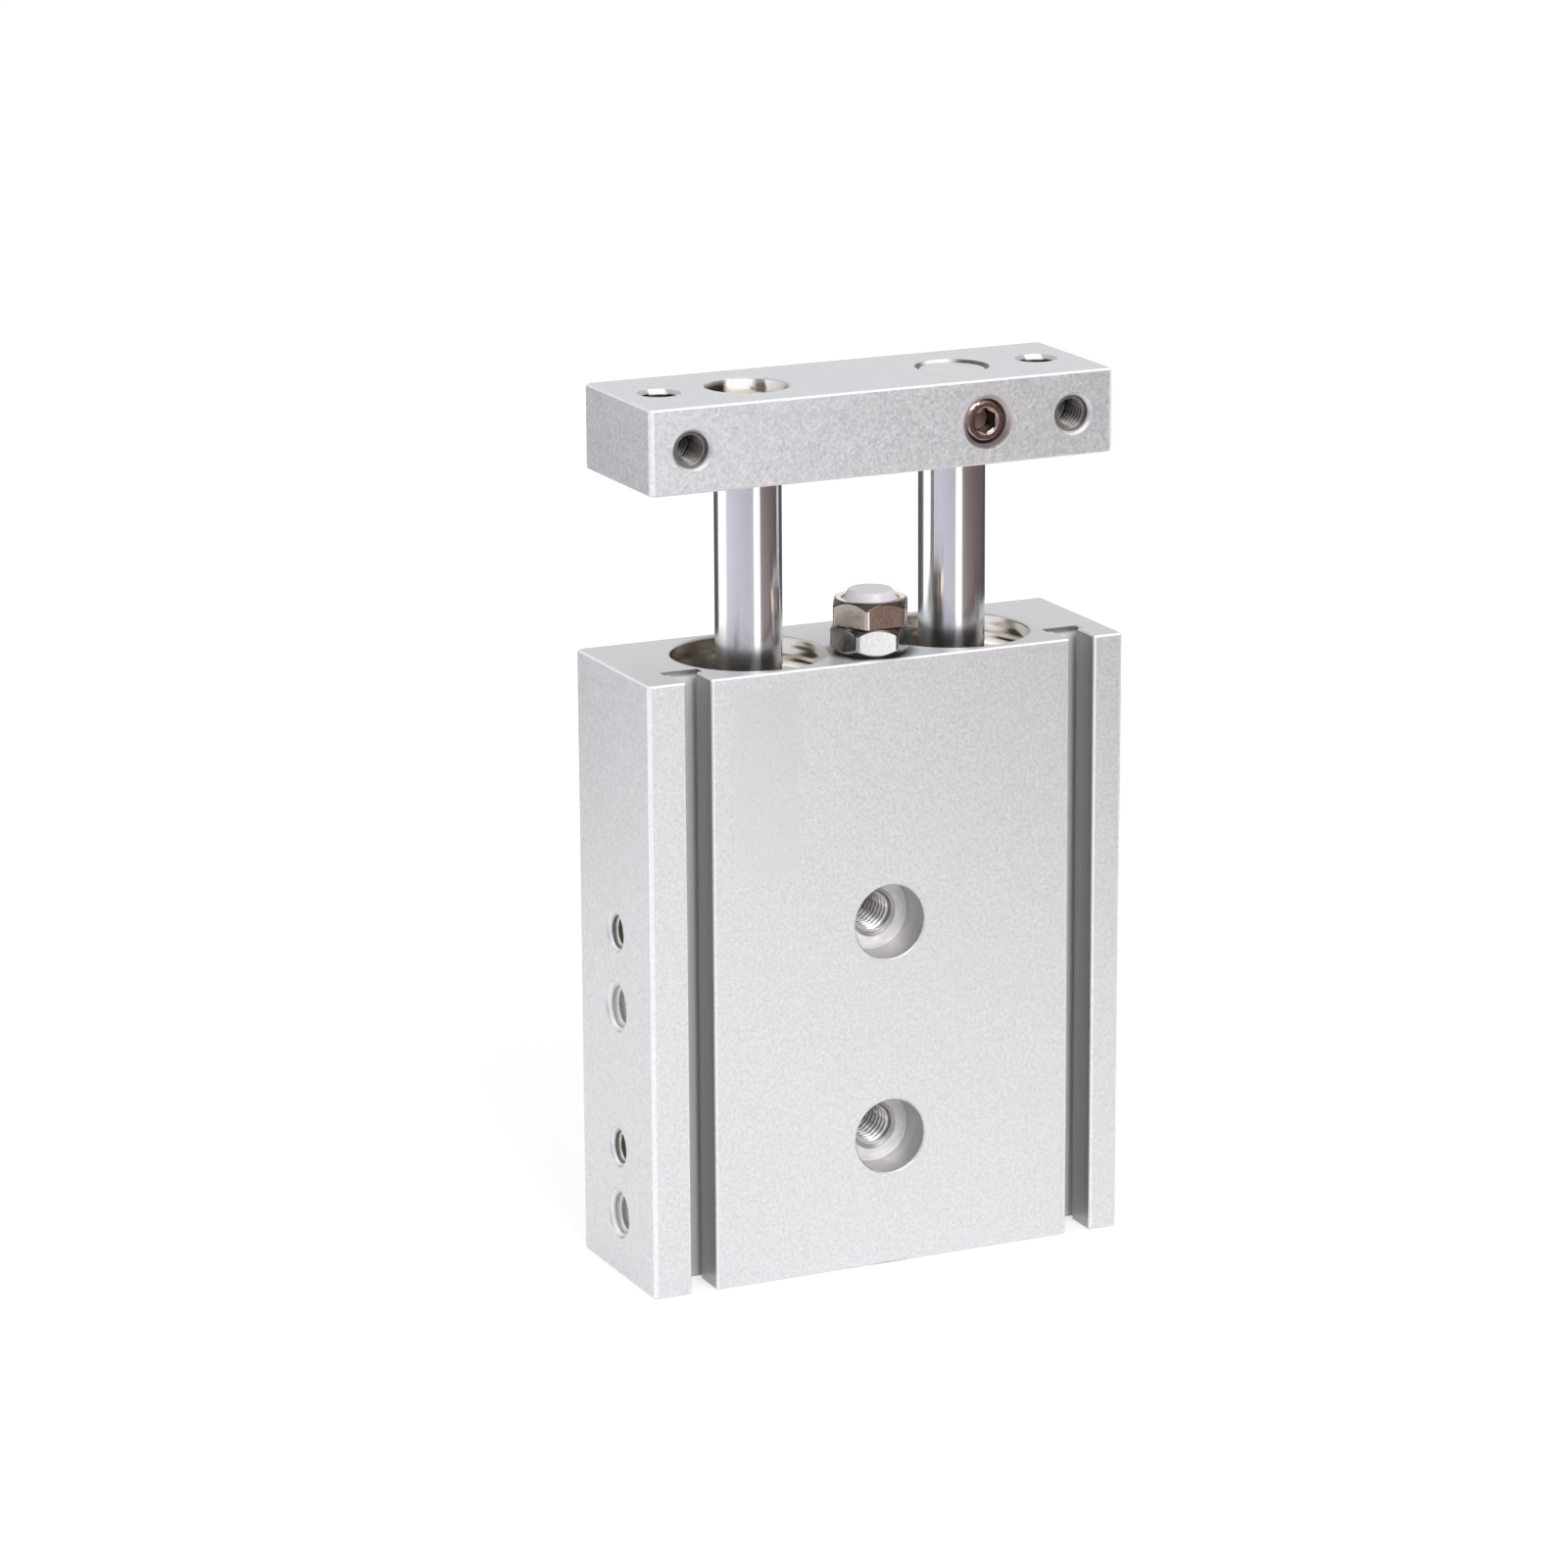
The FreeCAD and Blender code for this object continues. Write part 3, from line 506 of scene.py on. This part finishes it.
def nickel(name, level, warmth, gloss, bevel_top=NO_BEVEL, face=0.0):
    """Plated steel: warm grey, with draw marks, small pits and patches of duller plate. The bevel of a
    hexagon and the front of its rim are painted dark brown as shade: there the height is above a cone just
    inside it."""
    f = Finish(name)
    cone = bevel_top + HEX_BEVEL_SLOPE * (face - f.x.length(f.y - NUT_Y))
    # polished is 1 off the bevel; the bevel and the front of the rim get painted shade
    polished = (f.z - cone).under(-0.1, 0.1)
    polished = polished * (1.0 - f.z.over(bevel_top - 0.05) * (f.y - NUT_Y).under(-2.2, 0.8))
    patch = f.start.noise(f.place, 1.1, 3.0)
    marks = f.start.noise(f.start.stretched(f.place, (5.0, 5.0, 0.9)), 1.0, 3.0)
    pits = f.start.noise(f.place, 6.0, 1.0).over(0.68, 0.1)
    colour = (patch * 0.7 + marks * 0.3).mix(grey(level * 0.86, warmth), grey(level * 1.08, warmth * 0.8))
    colour = polished.mix((*(part * level for part in BEVEL_SHADE), 1.0), colour)
    rough = gloss + 0.16 * patch + 0.1 * pits
    height = marks * 0.5 + patch - pits * 0.3
    return f.set(Base_Color=colour, Roughness=rough, Metallic=1.0, Normal=height.bump(0.012))


def socketed_nickel():
    """Dark plated set screw: a brown bevelled face, and a hexagon socket painted near-black as shade on its
    wall, lighter and duller on its floor.
    """
    f = Finish("set_screw_plate")
    low, high = box("rod_set_screw")
    middle = (low + high) / 2
    reach = (f.x - float(middle[0])).length(f.z - float(middle[2]))
    deep = f.y - float(low[1])
    wall = reach.under(SET_SCREW_FLATS / math.sqrt(3) + 0.05) * deep.over(0.25)
    floor = reach.under(SET_SCREW_FLATS / 2 - 0.02) * deep.over(SET_SCREW_SOCKET - 0.15)
    patch = f.start.noise(f.place, 1.6, 3.0)
    face = patch.mix((0.3, 0.215, 0.19, 1.0), (0.46, 0.35, 0.33, 1.0))
    # Painted shade: the socket wall near-black, its floor less dark
    socket = floor.mix((0.03, 0.016, 0.014, 1.0), (0.3, 0.22, 0.2, 1.0))
    return f.set(
        Base_Color=wall.mix(face, socket),
        Roughness=0.14 + 0.16 * patch + 0.2 * floor,
        Metallic=1.0,
        Normal=patch.bump(0.01),
    )


def moulded_white():
    """Milky moulded plastic, slightly see-through, with a soft mottle."""
    f = Finish("milky_plastic")
    mottle = f.start.noise(f.place, 1.6, 3.0)
    colour = mottle.mix((0.62, 0.59, 0.62, 1.0), (0.76, 0.73, 0.76, 1.0))
    return f.set(
        Base_Color=colour,
        Roughness=0.3 + 0.15 * mottle,
        Subsurface_Weight=0.35,
        Subsurface_Radius=(0.0012, 0.0011, 0.0011),
        Normal=mottle.bump(0.03),
    )


def dull(name, colour, rough, metallic=0.0):
    """Plain rubber, bronze or plastic of the inner pieces, with a fine mottle."""
    f = Finish(name)
    mottle = f.start.noise(f.place, 3.0, 3.0)
    light = tuple(min(1.0, part * 1.25) for part in colour)
    tint = mottle.mix((*colour, 1.0), (*light, 1.0))
    return f.set(
        Base_Color=tint, Roughness=rough + 0.1 * mottle, Metallic=metallic, Normal=mottle.bump(0.01)
    )


FINISHES = {
    "housing_anodised": anodised_housing(),
    "plate_anodised": anodised_plate(),
    "rod_chrome": ground_chrome(),
    "screw_nickel": nickel("screw_plate", 0.5, 0.1, 0.1),
    "set_screw_dark": socketed_nickel(),
    "nut_nickel": nickel("nut_plate", 0.59, 0.02, 0.05, top_of("lock_nut"), NUT_FACE),
    "bolt_nickel": nickel("bolt_plate", 0.7, 0.16, 0.06, top_of("adjusting_bolt"), HEAD_FACE),
    "bumper_plastic": moulded_white(),
    "cover_aluminium": cut_aluminium("turned_cover", 0.6, 0.04),
    "bush_bronze": dull("bearing_bronze", (0.45, 0.3, 0.14), 0.35, 1.0),
    "seal_rubber": dull("black_rubber", (0.02, 0.02, 0.022), 0.5),
    "ring_steel": nickel("spring_steel", 0.16, 0.16, 0.16),
    "bumper_rubber": dull("urethane", (0.05, 0.05, 0.055), 0.55),
    "magnet_black": dull("magnet_ferrite", (0.03, 0.03, 0.03), 0.6),
    "wear_plastic": dull("guide_band", (0.1, 0.075, 0.05), 0.5),
}
# Lighter and darker copies of one cut thread, by hole, as painted light and shade: lightest in the ports,
# darkest in the plate's front holes
BRIGHT_THREAD = cut_thread("bright_thread", grey(0.3, 0.08), grey(0.9, 0.02), 0.3)
PORT_THREAD = cut_thread("port_thread", grey(0.72, 0.02), grey(1.0), 0.15)
GREY_THREAD = cut_thread("grey_thread", grey(0.24, 0.05), grey(0.88, 0.02), 0.6)
DARK_THREAD = cut_thread("dark_thread", grey(0.09, 0.1), grey(0.18, 0.07), 0.3)
LIT_AND_SHADED_THREAD = lit_and_shaded_thread()
for solid in frame["nodes"].values():
    solid.material_slots[0].material = FINISHES[solid.material_slots[0].material.name]


def ring_points(radius, height, origin, axis, across):
    """Grid of points about an axis: each row is one turn, whose radius and height may change on the way.
    point = origin + radius cos(turn) across + radius sin(turn) (axis x across) + height axis."""
    axis, across = np.array(axis, float), np.array(across, float)
    along = np.cross(axis, across)
    turn = np.linspace(0, 2 * np.pi, radius.shape[1], endpoint=False)
    flat = np.cos(turn)[:, None] * across + np.sin(turn)[:, None] * along
    return np.array(origin) + radius[..., None] * flat + height[..., None] * axis


def piece(name, points, looped, body, slot, stands_for=(), finish=None, crest=None):
    """Mesh of rows that each close on themselves, up the outside and down the inside of a form.
    A looped form joins its last row to its first, and any other has a flat cap on both. A thread also
    keeps how far each point is raised, from root to crest."""
    rows, turns = points.shape[:2]
    index = np.arange(rows * turns).reshape(rows, turns)
    lower = index if looped else index[:-1]
    upper = np.roll(index, -1, 0) if looped else index[1:]
    corners = [lower, np.roll(lower, -1, 1), np.roll(upper, -1, 1), upper]
    faces = np.stack(corners, -1).reshape(-1, 4).tolist()
    if not looped:
        faces += [index[0, ::-1].tolist(), index[-1].tolist()]
    mesh = bpy.data.meshes.new(name)
    mesh.from_pydata((points.reshape(-1, 3) * MM).tolist(), [], faces)
    if crest is not None:
        mesh.attributes.new("crest", "FLOAT", "POINT").data.foreach_set("value", crest.ravel())
    mesh.shade_smooth()
    mesh.set_sharp_from_angle(angle=SHARP_ANGLE)
    made = bpy.data.objects.new(name, mesh)
    bpy.context.scene.collection.objects.link(made)
    made.data.materials.append(finish or FINISHES[slot])
    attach(made, body)
    if stands_for:
        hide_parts(*stands_for)
    return made


def eased(corners, ease, spacing, looped=False):
    """Outline through the corners, each rounded by a parabola that starts and ends ease away from it,
    with points no further than spacing apart. Returns the radii and the heights."""
    corners = np.array(corners, float)
    before, after = np.roll(corners, 1, 0), np.roll(corners, -1, 0)
    if not looped:
        before[0], after[-1] = corners[0], corners[-1]

    def toward(target):
        step = target - corners
        length = np.maximum(np.linalg.norm(step, axis=1, keepdims=True), 1e-9)
        return corners + step * np.minimum(ease / length, 0.45)

    t = np.linspace(0, 1, EASE_STEPS)[None, :, None]
    start, middle, end = toward(before)[:, None], corners[:, None], toward(after)[:, None]
    path = ((1 - t) ** 2 * start + 2 * t * (1 - t) * middle + t**2 * end).reshape(-1, 2)
    if looped:
        path = np.vstack([path, path[:1]])
    gaps = np.linalg.norm(np.diff(path, axis=0), axis=1)
    path = path[np.concatenate([[True], gaps > 1e-6])]
    gaps = np.linalg.norm(np.diff(path, axis=0), axis=1)
    counts = np.maximum(np.ceil(gaps / spacing).astype(int), 1)
    where = np.concatenate([i + np.arange(n) / n for i, n in enumerate(counts)])
    if not looped:
        where = np.append(where, len(gaps))
    steps = np.arange(len(path))
    return np.interp(where, steps, path[:, 0]), np.interp(where, steps, path[:, 1])


def all_round(radius, height, turns=TURNS):
    """The same radius and height at every angle of the turn."""
    return np.repeat(radius[:, None], turns, 1), np.repeat(height[:, None], turns, 1)


def hexagon_radius(flats, turn_degrees, turns=TURNS):
    """Radius of a hexagon with softened corners: half its width across flats over a power mean of the
    six cosines to its flats, which is their largest except where two are nearly equal."""
    angle = np.linspace(0, 2 * np.pi, turns, endpoint=False)
    normals = np.radians(30 + 60 * np.arange(6) + turn_degrees)
    facing = np.maximum(np.cos(angle[:, None] - normals), 0)
    return flats / 2 / (facing**HEX_CORNER_POWER).sum(1) ** (1 / HEX_CORNER_POWER)


def lesser(first, second, sharpness=40.0):
    """Smaller of two lengths, with the edge where they meet eased."""
    return -np.logaddexp(-sharpness * first, -sharpness * second) / sharpness


def thread_wave(height, pitch, turns):
    """Thread as a wave from 0 to 1 along a helix: a flat of an eighth of the pitch, two flanks and a flat
    of a quarter, at the phase height / pitch - turn."""
    phase = (height / pitch - np.linspace(0, 1, turns, endpoint=False)) % 1.0
    from_crest = 0.5 - np.abs(phase - 0.5)
    return np.clip((from_crest - 1 / 16) / (5 / 16), 0, 1)


def fade_between(height, low, high, run):
    """1 between low and high and 0 outside them, over a short run inside each."""
    return np.clip((height - low) / run, 0, 1) * np.clip((high - height) / run, 0, 1)


def threaded_shank(radius, height, shank, tip, top, run):
    """Radius with an M5 thread cut into the shank between its tip and a top height."""
    threaded = fade_between(height, tip, top, run) * (radius <= shank + 1e-6)
    pitch = THREAD_PITCH[M5]
    return radius - THREAD_DEPTH * pitch * thread_wave(height, pitch, radius.shape[1]) * threaded


def upright(radius, height, low, high, base):
    """Points of a form that stands on a base height, in the middle of its solid's box."""
    centre = ((low[0] + high[0]) / 2, (low[1] + high[1]) / 2, base)
    return ring_points(radius, height, centre, (0, 0, 1), (1, 0, 0))


def threaded_sleeve(name, mouth, axis, diameter, length, body, finish):
    """Inside thread of a tapped hole, as a thin sleeve on its wall: the radius falls from the wall by the
    thread's depth times the wave, and fades out at both ends."""
    pitch = THREAD_PITCH[diameter]
    wall = diameter / 2 - WALL_COVER
    skin = diameter / 2 + WALL_COVER
    corners = [(skin, -length), (skin, 0), (wall, 0), (wall, -length)]
    radius, height = all_round(*eased(corners, 0.005, pitch / 12, looped=True))
    inside = radius < diameter / 2 - WALL_COVER / 2
    wave = 1 - thread_wave(height, pitch, TURNS)
    fade = fade_between(height, -length, 0, pitch / 2)
    across = (1, 0, 0) if abs(axis[0]) < 0.5 else (0, 1, 0)
    points = ring_points(radius - THREAD_DEPTH * pitch * wave * fade * inside, height, mouth, axis, across)
    crest = wave * fade + 0.5 * (1 - fade)
    piece(name, points, True, body, "cover_aluminium", finish=finish, crest=crest)


def hole_centres(mount):
    """Centres of a mount's holes in millimetres: one, or two set apart along X or up Z."""
    centre = np.array(mount["pos_m"]) / MM
    for size, direction in (("spacing_x_mm", (1, 0, 0)), ("spacing_y_mm", (0, 0, 1))):
        if size in mount["dims"]:
            half = mount["dims"][size] / 2 * np.array(direction)
            return [centre - half, centre + half]
    return [centre]


def make_threads():
    """Threads of the mounting holes, the ports and the end plate's holes."""
    plate_through = float(PLATE_HIGH[2] - PLATE_LOW[2]) - 2 * THREAD_CHAMFER
    web = 2 * abs(MOUNTS["front_mounting_holes"]["pos_m"][1]) / MM - 2 * THREAD_CHAMFER
    rows = [
        ("front_mounting_holes", M5, web, "housing", GREY_THREAD),
        ("side_mounting_threads", M4, SIDE_THREAD_LENGTH - THREAD_CHAMFER, "housing", BRIGHT_THREAD),
        ("plate_top_threads", M4, plate_through, "carriage", LIT_AND_SHADED_THREAD),
        ("plate_front_threads", M4, PLATE_FRONT_THREAD_LENGTH - THREAD_CHAMFER, "carriage", DARK_THREAD),
    ]
    for name, diameter, length, body, finish in rows:
        axis = np.array(MOUNTS[name]["axis"], float)
        for i, centre in enumerate(hole_centres(MOUNTS[name])):
            mouth = centre - axis * THREAD_CHAMFER
            threaded_sleeve(f"{name}_thread_{i}", mouth, axis, diameter, length, body, finish)
    for name in ("rod_side_port", "head_side_port"):
        axis = np.array(MOUNTS[name]["axis"], float)
        mouth = np.array(MOUNTS[name]["pos_m"]) / MM
        mouth[0] = BODY_LOW[0] + PORT_CHAMFER
        length = PORT_THREAD_LENGTH - PORT_CHAMFER
        threaded_sleeve(f"{name}_thread", mouth, axis, M5, length, "housing", PORT_THREAD)


def make_lock_nut():
    """Thin nut: a bevelled turned blank, limited by a hexagon, with a bevelled hole."""
    low, high = box("lock_nut")
    tall = high[2] - low[2]
    corner = ADJUSTER_FLATS / math.sqrt(3)
    bevel = (corner - NUT_FACE) * HEX_BEVEL_SLOPE
    hole = NUT_HOLE_RADIUS
    outside = [(hole + THREAD_CHAMFER, 0), (NUT_FACE, 0), (corner, bevel)]
    outside += [(corner, tall - bevel), (NUT_FACE, tall)]
    inside = [(hole + THREAD_CHAMFER, tall), (hole, tall - THREAD_CHAMFER), (hole, THREAD_CHAMFER)]
    radius, height = all_round(*eased(outside + inside, 0.12, 0.12, looped=True), HEX_TURNS)
    radius = lesser(radius, hexagon_radius(ADJUSTER_FLATS, LOCK_NUT_TURN, HEX_TURNS))
    points = upright(radius, height, low, high, low[2])
    piece("nut", points, True, "housing", "nut_nickel", ["lock_nut"])


def make_adjusting_bolt():
    """Bolt: a threaded shank, and a head like the nut's with a seat for the bumper."""
    low, high = box("adjusting_bolt")
    head_base = box("lock_nut")[1][2]
    head_tall = high[2] - head_base
    tip = low[2] - head_base
    corner = ADJUSTER_FLATS / math.sqrt(3)
    bevel = (corner - HEAD_FACE) * HEX_BEVEL_SLOPE
    shank = ADJUSTER_SHANK_RADIUS
    bumper_low, bumper_high = box("adjuster_bumper")
    seat = (bumper_high[0] - bumper_low[0]) / 2 + BUMPER_SEAT_GAP
    profile = [(shank - SCREW_BREAK, tip), (shank, tip + SCREW_BREAK), (shank, 0)]
    profile += [(corner, 0), (corner, head_tall - bevel), (HEAD_FACE, head_tall)]
    profile += [(seat, head_tall), (seat, head_tall - BUMPER_SEAT_DEPTH)]
    radius, height = all_round(*eased(profile, 0.1, 0.1), HEX_TURNS)
    radius = threaded_shank(radius, height, shank, tip, -0.3, 0.3)
    radius = lesser(radius, hexagon_radius(ADJUSTER_FLATS, 0.0, HEX_TURNS))
    points = upright(radius, height, low, high, head_base)
    piece("bolt", points, False, "adjuster_screw", "bolt_nickel", ["adjusting_bolt"])


def make_adjuster_bumper():
    """Button with a foot down in the bolt's seat and a cone with a rounded rim above it."""
    low, high = box("adjuster_bumper")
    tall = high[2] - low[2]
    foot = (high[0] - low[0]) / 2
    cone = foot - BUMPER_LEDGE
    profile = [(foot - 0.1, 0), (foot, 0.1), (foot, BUMPER_FOOT), (cone, BUMPER_FOOT)]
    crown = cone - BUMPER_RUN
    profile += [(crown, tall - BUMPER_RIM), (crown - 0.3 * BUMPER_RIM, tall - 0.3 * BUMPER_RIM)]
    profile += [(crown - BUMPER_RIM, tall), (0.3, tall)]
    radius, height = all_round(*eased(profile, 0.12, 0.15))
    points = upright(radius, height, low, high, low[2])
    piece("bumper", points, False, "adjuster_lift", "bumper_plastic", ["adjuster_bumper"])


def make_rod_bolt():
    """Socket screw: threaded shank, head with a knurled side and a hexagon socket."""
    low, high = box("rod_bolt")
    turns = 8 * KNURL_TEETH
    head_wide = (high[0] - low[0]) / 2
    head_tall = ROD_BOLT_HEAD
    base = high[2] - head_tall
    tip = low[2] - base
    shank = ROD_BOLT_SHANK_RADIUS
    across = ROD_BOLT_FLATS / math.sqrt(3)
    floor = head_tall - ROD_BOLT_SOCKET
    outside = [(shank - SCREW_BREAK, tip), (shank, tip + SCREW_BREAK), (shank, 0), (head_wide, 0)]
    outside += [(head_wide, head_tall - SCREW_BREAK), (head_wide - SCREW_BREAK, head_tall)]
    inside = [(across + 0.1, head_tall), (across - 0.2, head_tall - 0.3), (across - 0.2, floor)]
    radius, height = all_round(*eased(outside + inside, 0.12, 0.12), turns)
    radius = threaded_shank(radius, height, shank, tip, -0.5, 0.4)
    angle = np.linspace(0, 2 * np.pi, turns, endpoint=False)
    teeth = KNURL_DEPTH * (0.5 + 0.5 * np.cos(KNURL_TEETH * angle))
    knurled = fade_between(height, 0.4, head_tall - 0.7, 0.2) * (radius > head_wide - 0.1)
    radius = radius - teeth * knurled
    wall = (height < head_tall - 0.2) & (height > floor - 0.1) & (np.abs(radius - across + 0.2) < 0.21)
    radius = np.where(wall, hexagon_radius(ROD_BOLT_FLATS, 0.0, turns)[None, :], radius)
    points = upright(radius, height, low, high, base)
    piece("socket_screw", points, False, "carriage", "screw_nickel", ["rod_bolt"])


def make_set_screw():
    """Headless screw: threaded outside, with a bevelled end and a hexagon socket."""
    low, high = box("rod_set_screw")
    long = min(high[1] - low[1], SET_SCREW_LENGTH)
    wide = (high[0] - low[0]) / 2
    across = SET_SCREW_FLATS / math.sqrt(3)
    outside = [(wide - SCREW_BREAK, -long), (wide, -long + SCREW_BREAK)]
    outside += [(wide, -SCREW_BREAK), (wide - SCREW_BREAK, 0)]
    inside = [(across + 0.1, 0), (across - 0.15, -0.25), (across - 0.15, -SET_SCREW_SOCKET)]
    radius, height = all_round(*eased(outside + inside, 0.08, 0.08), HEX_TURNS)
    pitch = THREAD_PITCH[M5]
    limit = wide - THREAD_DEPTH * pitch * thread_wave(height, pitch, HEX_TURNS)
    radius = np.where(radius > wide - 0.6, np.minimum(radius, limit), radius)
    wall = (height < -0.15) & (np.abs(radius - across + 0.15) < 0.2)
    radius = np.where(wall, hexagon_radius(SET_SCREW_FLATS, 30.0, HEX_TURNS)[None, :], radius)
    centre = ((low[0] + high[0]) / 2, low[1], (low[2] + high[2]) / 2)
    points = ring_points(radius, height, centre, (0, -1, 0), (1, 0, 0))
    piece("clamp_screw", points, False, "carriage", "set_screw_dark", ["rod_set_screw"])


make_threads()
make_lock_nut()
make_adjusting_bolt()
make_adjuster_bumper()
make_rod_bolt()
make_set_screw()


def seen_rays(start):
    """1 for rays that show the surroundings: straight to the camera, in a mirror or through a clear piece."""
    camera, glossy, clear = (
        start.node("ShaderNodeLightPath", output=name)
        for name in ("Is Camera Ray", "Is Glossy Ray", "Is Transmission Ray")
    )
    return camera.most(glossy).most(clear)


# Levels of the studio: the light that the surroundings throw, and the floor's own grey and its lift
WORLD_LIGHT = 0.62
FLOOR_GREY = 0.62
FLOOR_LIFT = 0.58
FLOOR_REACH = 4.0
FLOOR_DROP = 0.00005
STUDIO_MIDDLE = (0, 0, 0.05)


def make_world():
    """White surroundings, with a softer level for the light that they throw on the object."""
    world = bpy.data.worlds.new("studio")
    bpy.context.scene.world = world
    world.use_nodes = True
    background = world.node_tree.nodes["Background"]
    background.inputs["Color"].default_value = (1, 1, 1, 1)
    start = Wire(world.node_tree)
    strength = WORLD_LIGHT + (1 - WORLD_LIGHT) * seen_rays(start)
    world.node_tree.links.new(strength.socket, background.inputs["Strength"])


def stage_mesh(name, corners, faces, material):
    """Plain mesh that isn't part of the object."""
    mesh = bpy.data.meshes.new(name)
    mesh.from_pydata(corners, [], faces)
    made = bpy.data.objects.new(name, mesh)
    bpy.context.scene.collection.objects.link(made)
    made.data.materials.append(material)
    return made


def make_floor():
    """Wide pale floor, lifted to white where it is seen, that keeps the object's shadow."""
    f = Finish("pale_floor")
    seen = seen_rays(f.start)
    lift = seen.mix((0, 0, 0, 1), grey(FLOOR_LIFT))
    f.set(Base_Color=grey(FLOOR_GREY), Roughness=0.9, Specular_IOR_Level=0.0)
    material = f.set(Emission_Color=lift, Emission_Strength=1.0)
    reach = FLOOR_REACH
    corners = [(-reach, -reach, 0), (reach, -reach, 0), (reach, reach, 0), (-reach, reach, 0)]
    floor = stage_mesh("floor", corners, [(0, 1, 2, 3)], material)
    floor.location.z = -FLOOR_DROP


# The tent's strips, as angle from the camera's side in degrees, to the right, and linear colour
TENT_STRIPS = [
    (-180, (0.1, 0.1, 0.11)),
    (-130, (0.08, 0.08, 0.09)),
    (-119, (0.22, 0.22, 0.23)),
    (-112, (1.6, 1.6, 1.6)),
    (-86, (1.6, 1.6, 1.6)),
    (-74, (0.72, 0.72, 0.81)),
    (-40, (0.62, 0.62, 0.71)),
    (0, (0.52, 0.51, 0.59)),
    (14, (0.5, 0.49, 0.56)),
    (20, (1.6, 1.6, 1.6)),
    (33, (1.6, 1.6, 1.6)),
    (41, (0.24, 0.185, 0.175)),
    (65, (0.17, 0.125, 0.115)),
    (100, (0.13, 0.1, 0.095)),
    (135, (0.07, 0.06, 0.06)),
    (165, (0.12, 0.11, 0.11)),
    (179, (0.1, 0.1, 0.11)),
]
TENT_SIDES = 180
TENT_RADIUS = 0.2
TENT_HEIGHT = 0.17
TENT_BACK = 1.9
TENT_BACK_HEIGHT = 0.08


def make_tent():
    """Ring of pale and dark cards round the object, white above a low strip at the back, and seen only in
    the object's polished pieces."""
    material = bpy.data.materials.new("tent_cards")
    material.use_nodes = True
    tree = material.node_tree
    tree.nodes.clear()
    start = Wire(tree)
    coords = start.node("ShaderNodeTexCoord", output=3)
    x, y, z = (start.node("ShaderNodeSeparateXYZ", None, {0: coords}, i) for i in range(3))
    right = x * math.cos(CAMERA_AZIMUTH) + y * math.sin(CAMERA_AZIMUTH)
    toward = x * math.sin(CAMERA_AZIMUTH) - y * math.cos(CAMERA_AZIMUTH)
    angle = right.math("ARCTAN2", right, toward)
    stops = [((degrees + 180) / 360, (*colour, 1)) for degrees, colour in TENT_STRIPS]
    cards = start.node("ShaderNodeValToRGB", {"stops": stops}, {0: angle / (2 * math.pi) + 0.5})
    back = abs(angle).over(TENT_BACK, 0.3) * z.over(TENT_BACK_HEIGHT, 0.05)
    cards = back.mix(cards, (1, 1, 1, 1))
    glow = start.node("ShaderNodeEmission", None, {"Color": cards, "Strength": 1.0})
    out = tree.nodes.new("ShaderNodeOutputMaterial")
    tree.links.new(glow.socket, out.inputs["Surface"])
    turn = np.linspace(0, 2 * np.pi, TENT_SIDES, endpoint=False)
    ring = TENT_RADIUS * np.stack([np.cos(turn), np.sin(turn), np.zeros_like(turn)], 1)
    index = np.arange(TENT_SIDES)
    after = np.roll(index, -1)
    faces = np.stack([index, after, after + TENT_SIDES, index + TENT_SIDES], 1)
    corners = np.vstack([ring, ring + [0, 0, TENT_HEIGHT]])
    tent = stage_mesh("tent", corners.tolist(), faces.tolist(), material)
    for rays in ("camera", "diffuse", "shadow", "transmission"):
        setattr(tent, f"visible_{rays}", False)


def make_lamp(name, place, target, size, power):
    """Square soft lamp that points at a target."""
    data = bpy.data.lights.new(name, "AREA")
    data.size = size
    data.energy = power
    lamp = bpy.data.objects.new(name, data)
    lamp.location = place
    lamp.rotation_euler = (Vector(target) - Vector(place)).to_track_quat("-Z", "Y").to_euler()
    bpy.context.scene.collection.objects.link(lamp)


def make_camera():
    """Camera turned by azimuth, elevation and roll, at the photograph's place and focal length."""
    data = bpy.data.cameras.new("camera")
    data.lens = CAMERA_LENS
    data.sensor_width = CAMERA_SENSOR
    data.clip_start = 0.01
    data.clip_end = 50.0
    camera = bpy.data.objects.new("camera", data)
    bpy.context.scene.collection.objects.link(camera)
    turn = Matrix.Rotation(CAMERA_AZIMUTH, 4, "Z")
    tilt = Matrix.Rotation(math.pi / 2 - CAMERA_ELEVATION, 4, "X")
    roll = Matrix.Rotation(CAMERA_ROLL, 4, "Z")
    camera.matrix_world = Matrix.Translation(CAMERA_PLACE) @ turn @ tilt @ roll
    bpy.context.scene.camera = camera


make_world()
make_floor()
make_tent()
make_lamp("key_lamp", (0.05, -0.95, 0.7), STUDIO_MIDDLE, 0.6, 8.0)
make_lamp("top_lamp", (0.2, 0.3, 1.1), STUDIO_MIDDLE, 0.8, 0.8)
make_camera()
bpy.context.scene.view_settings.view_transform = "Standard"
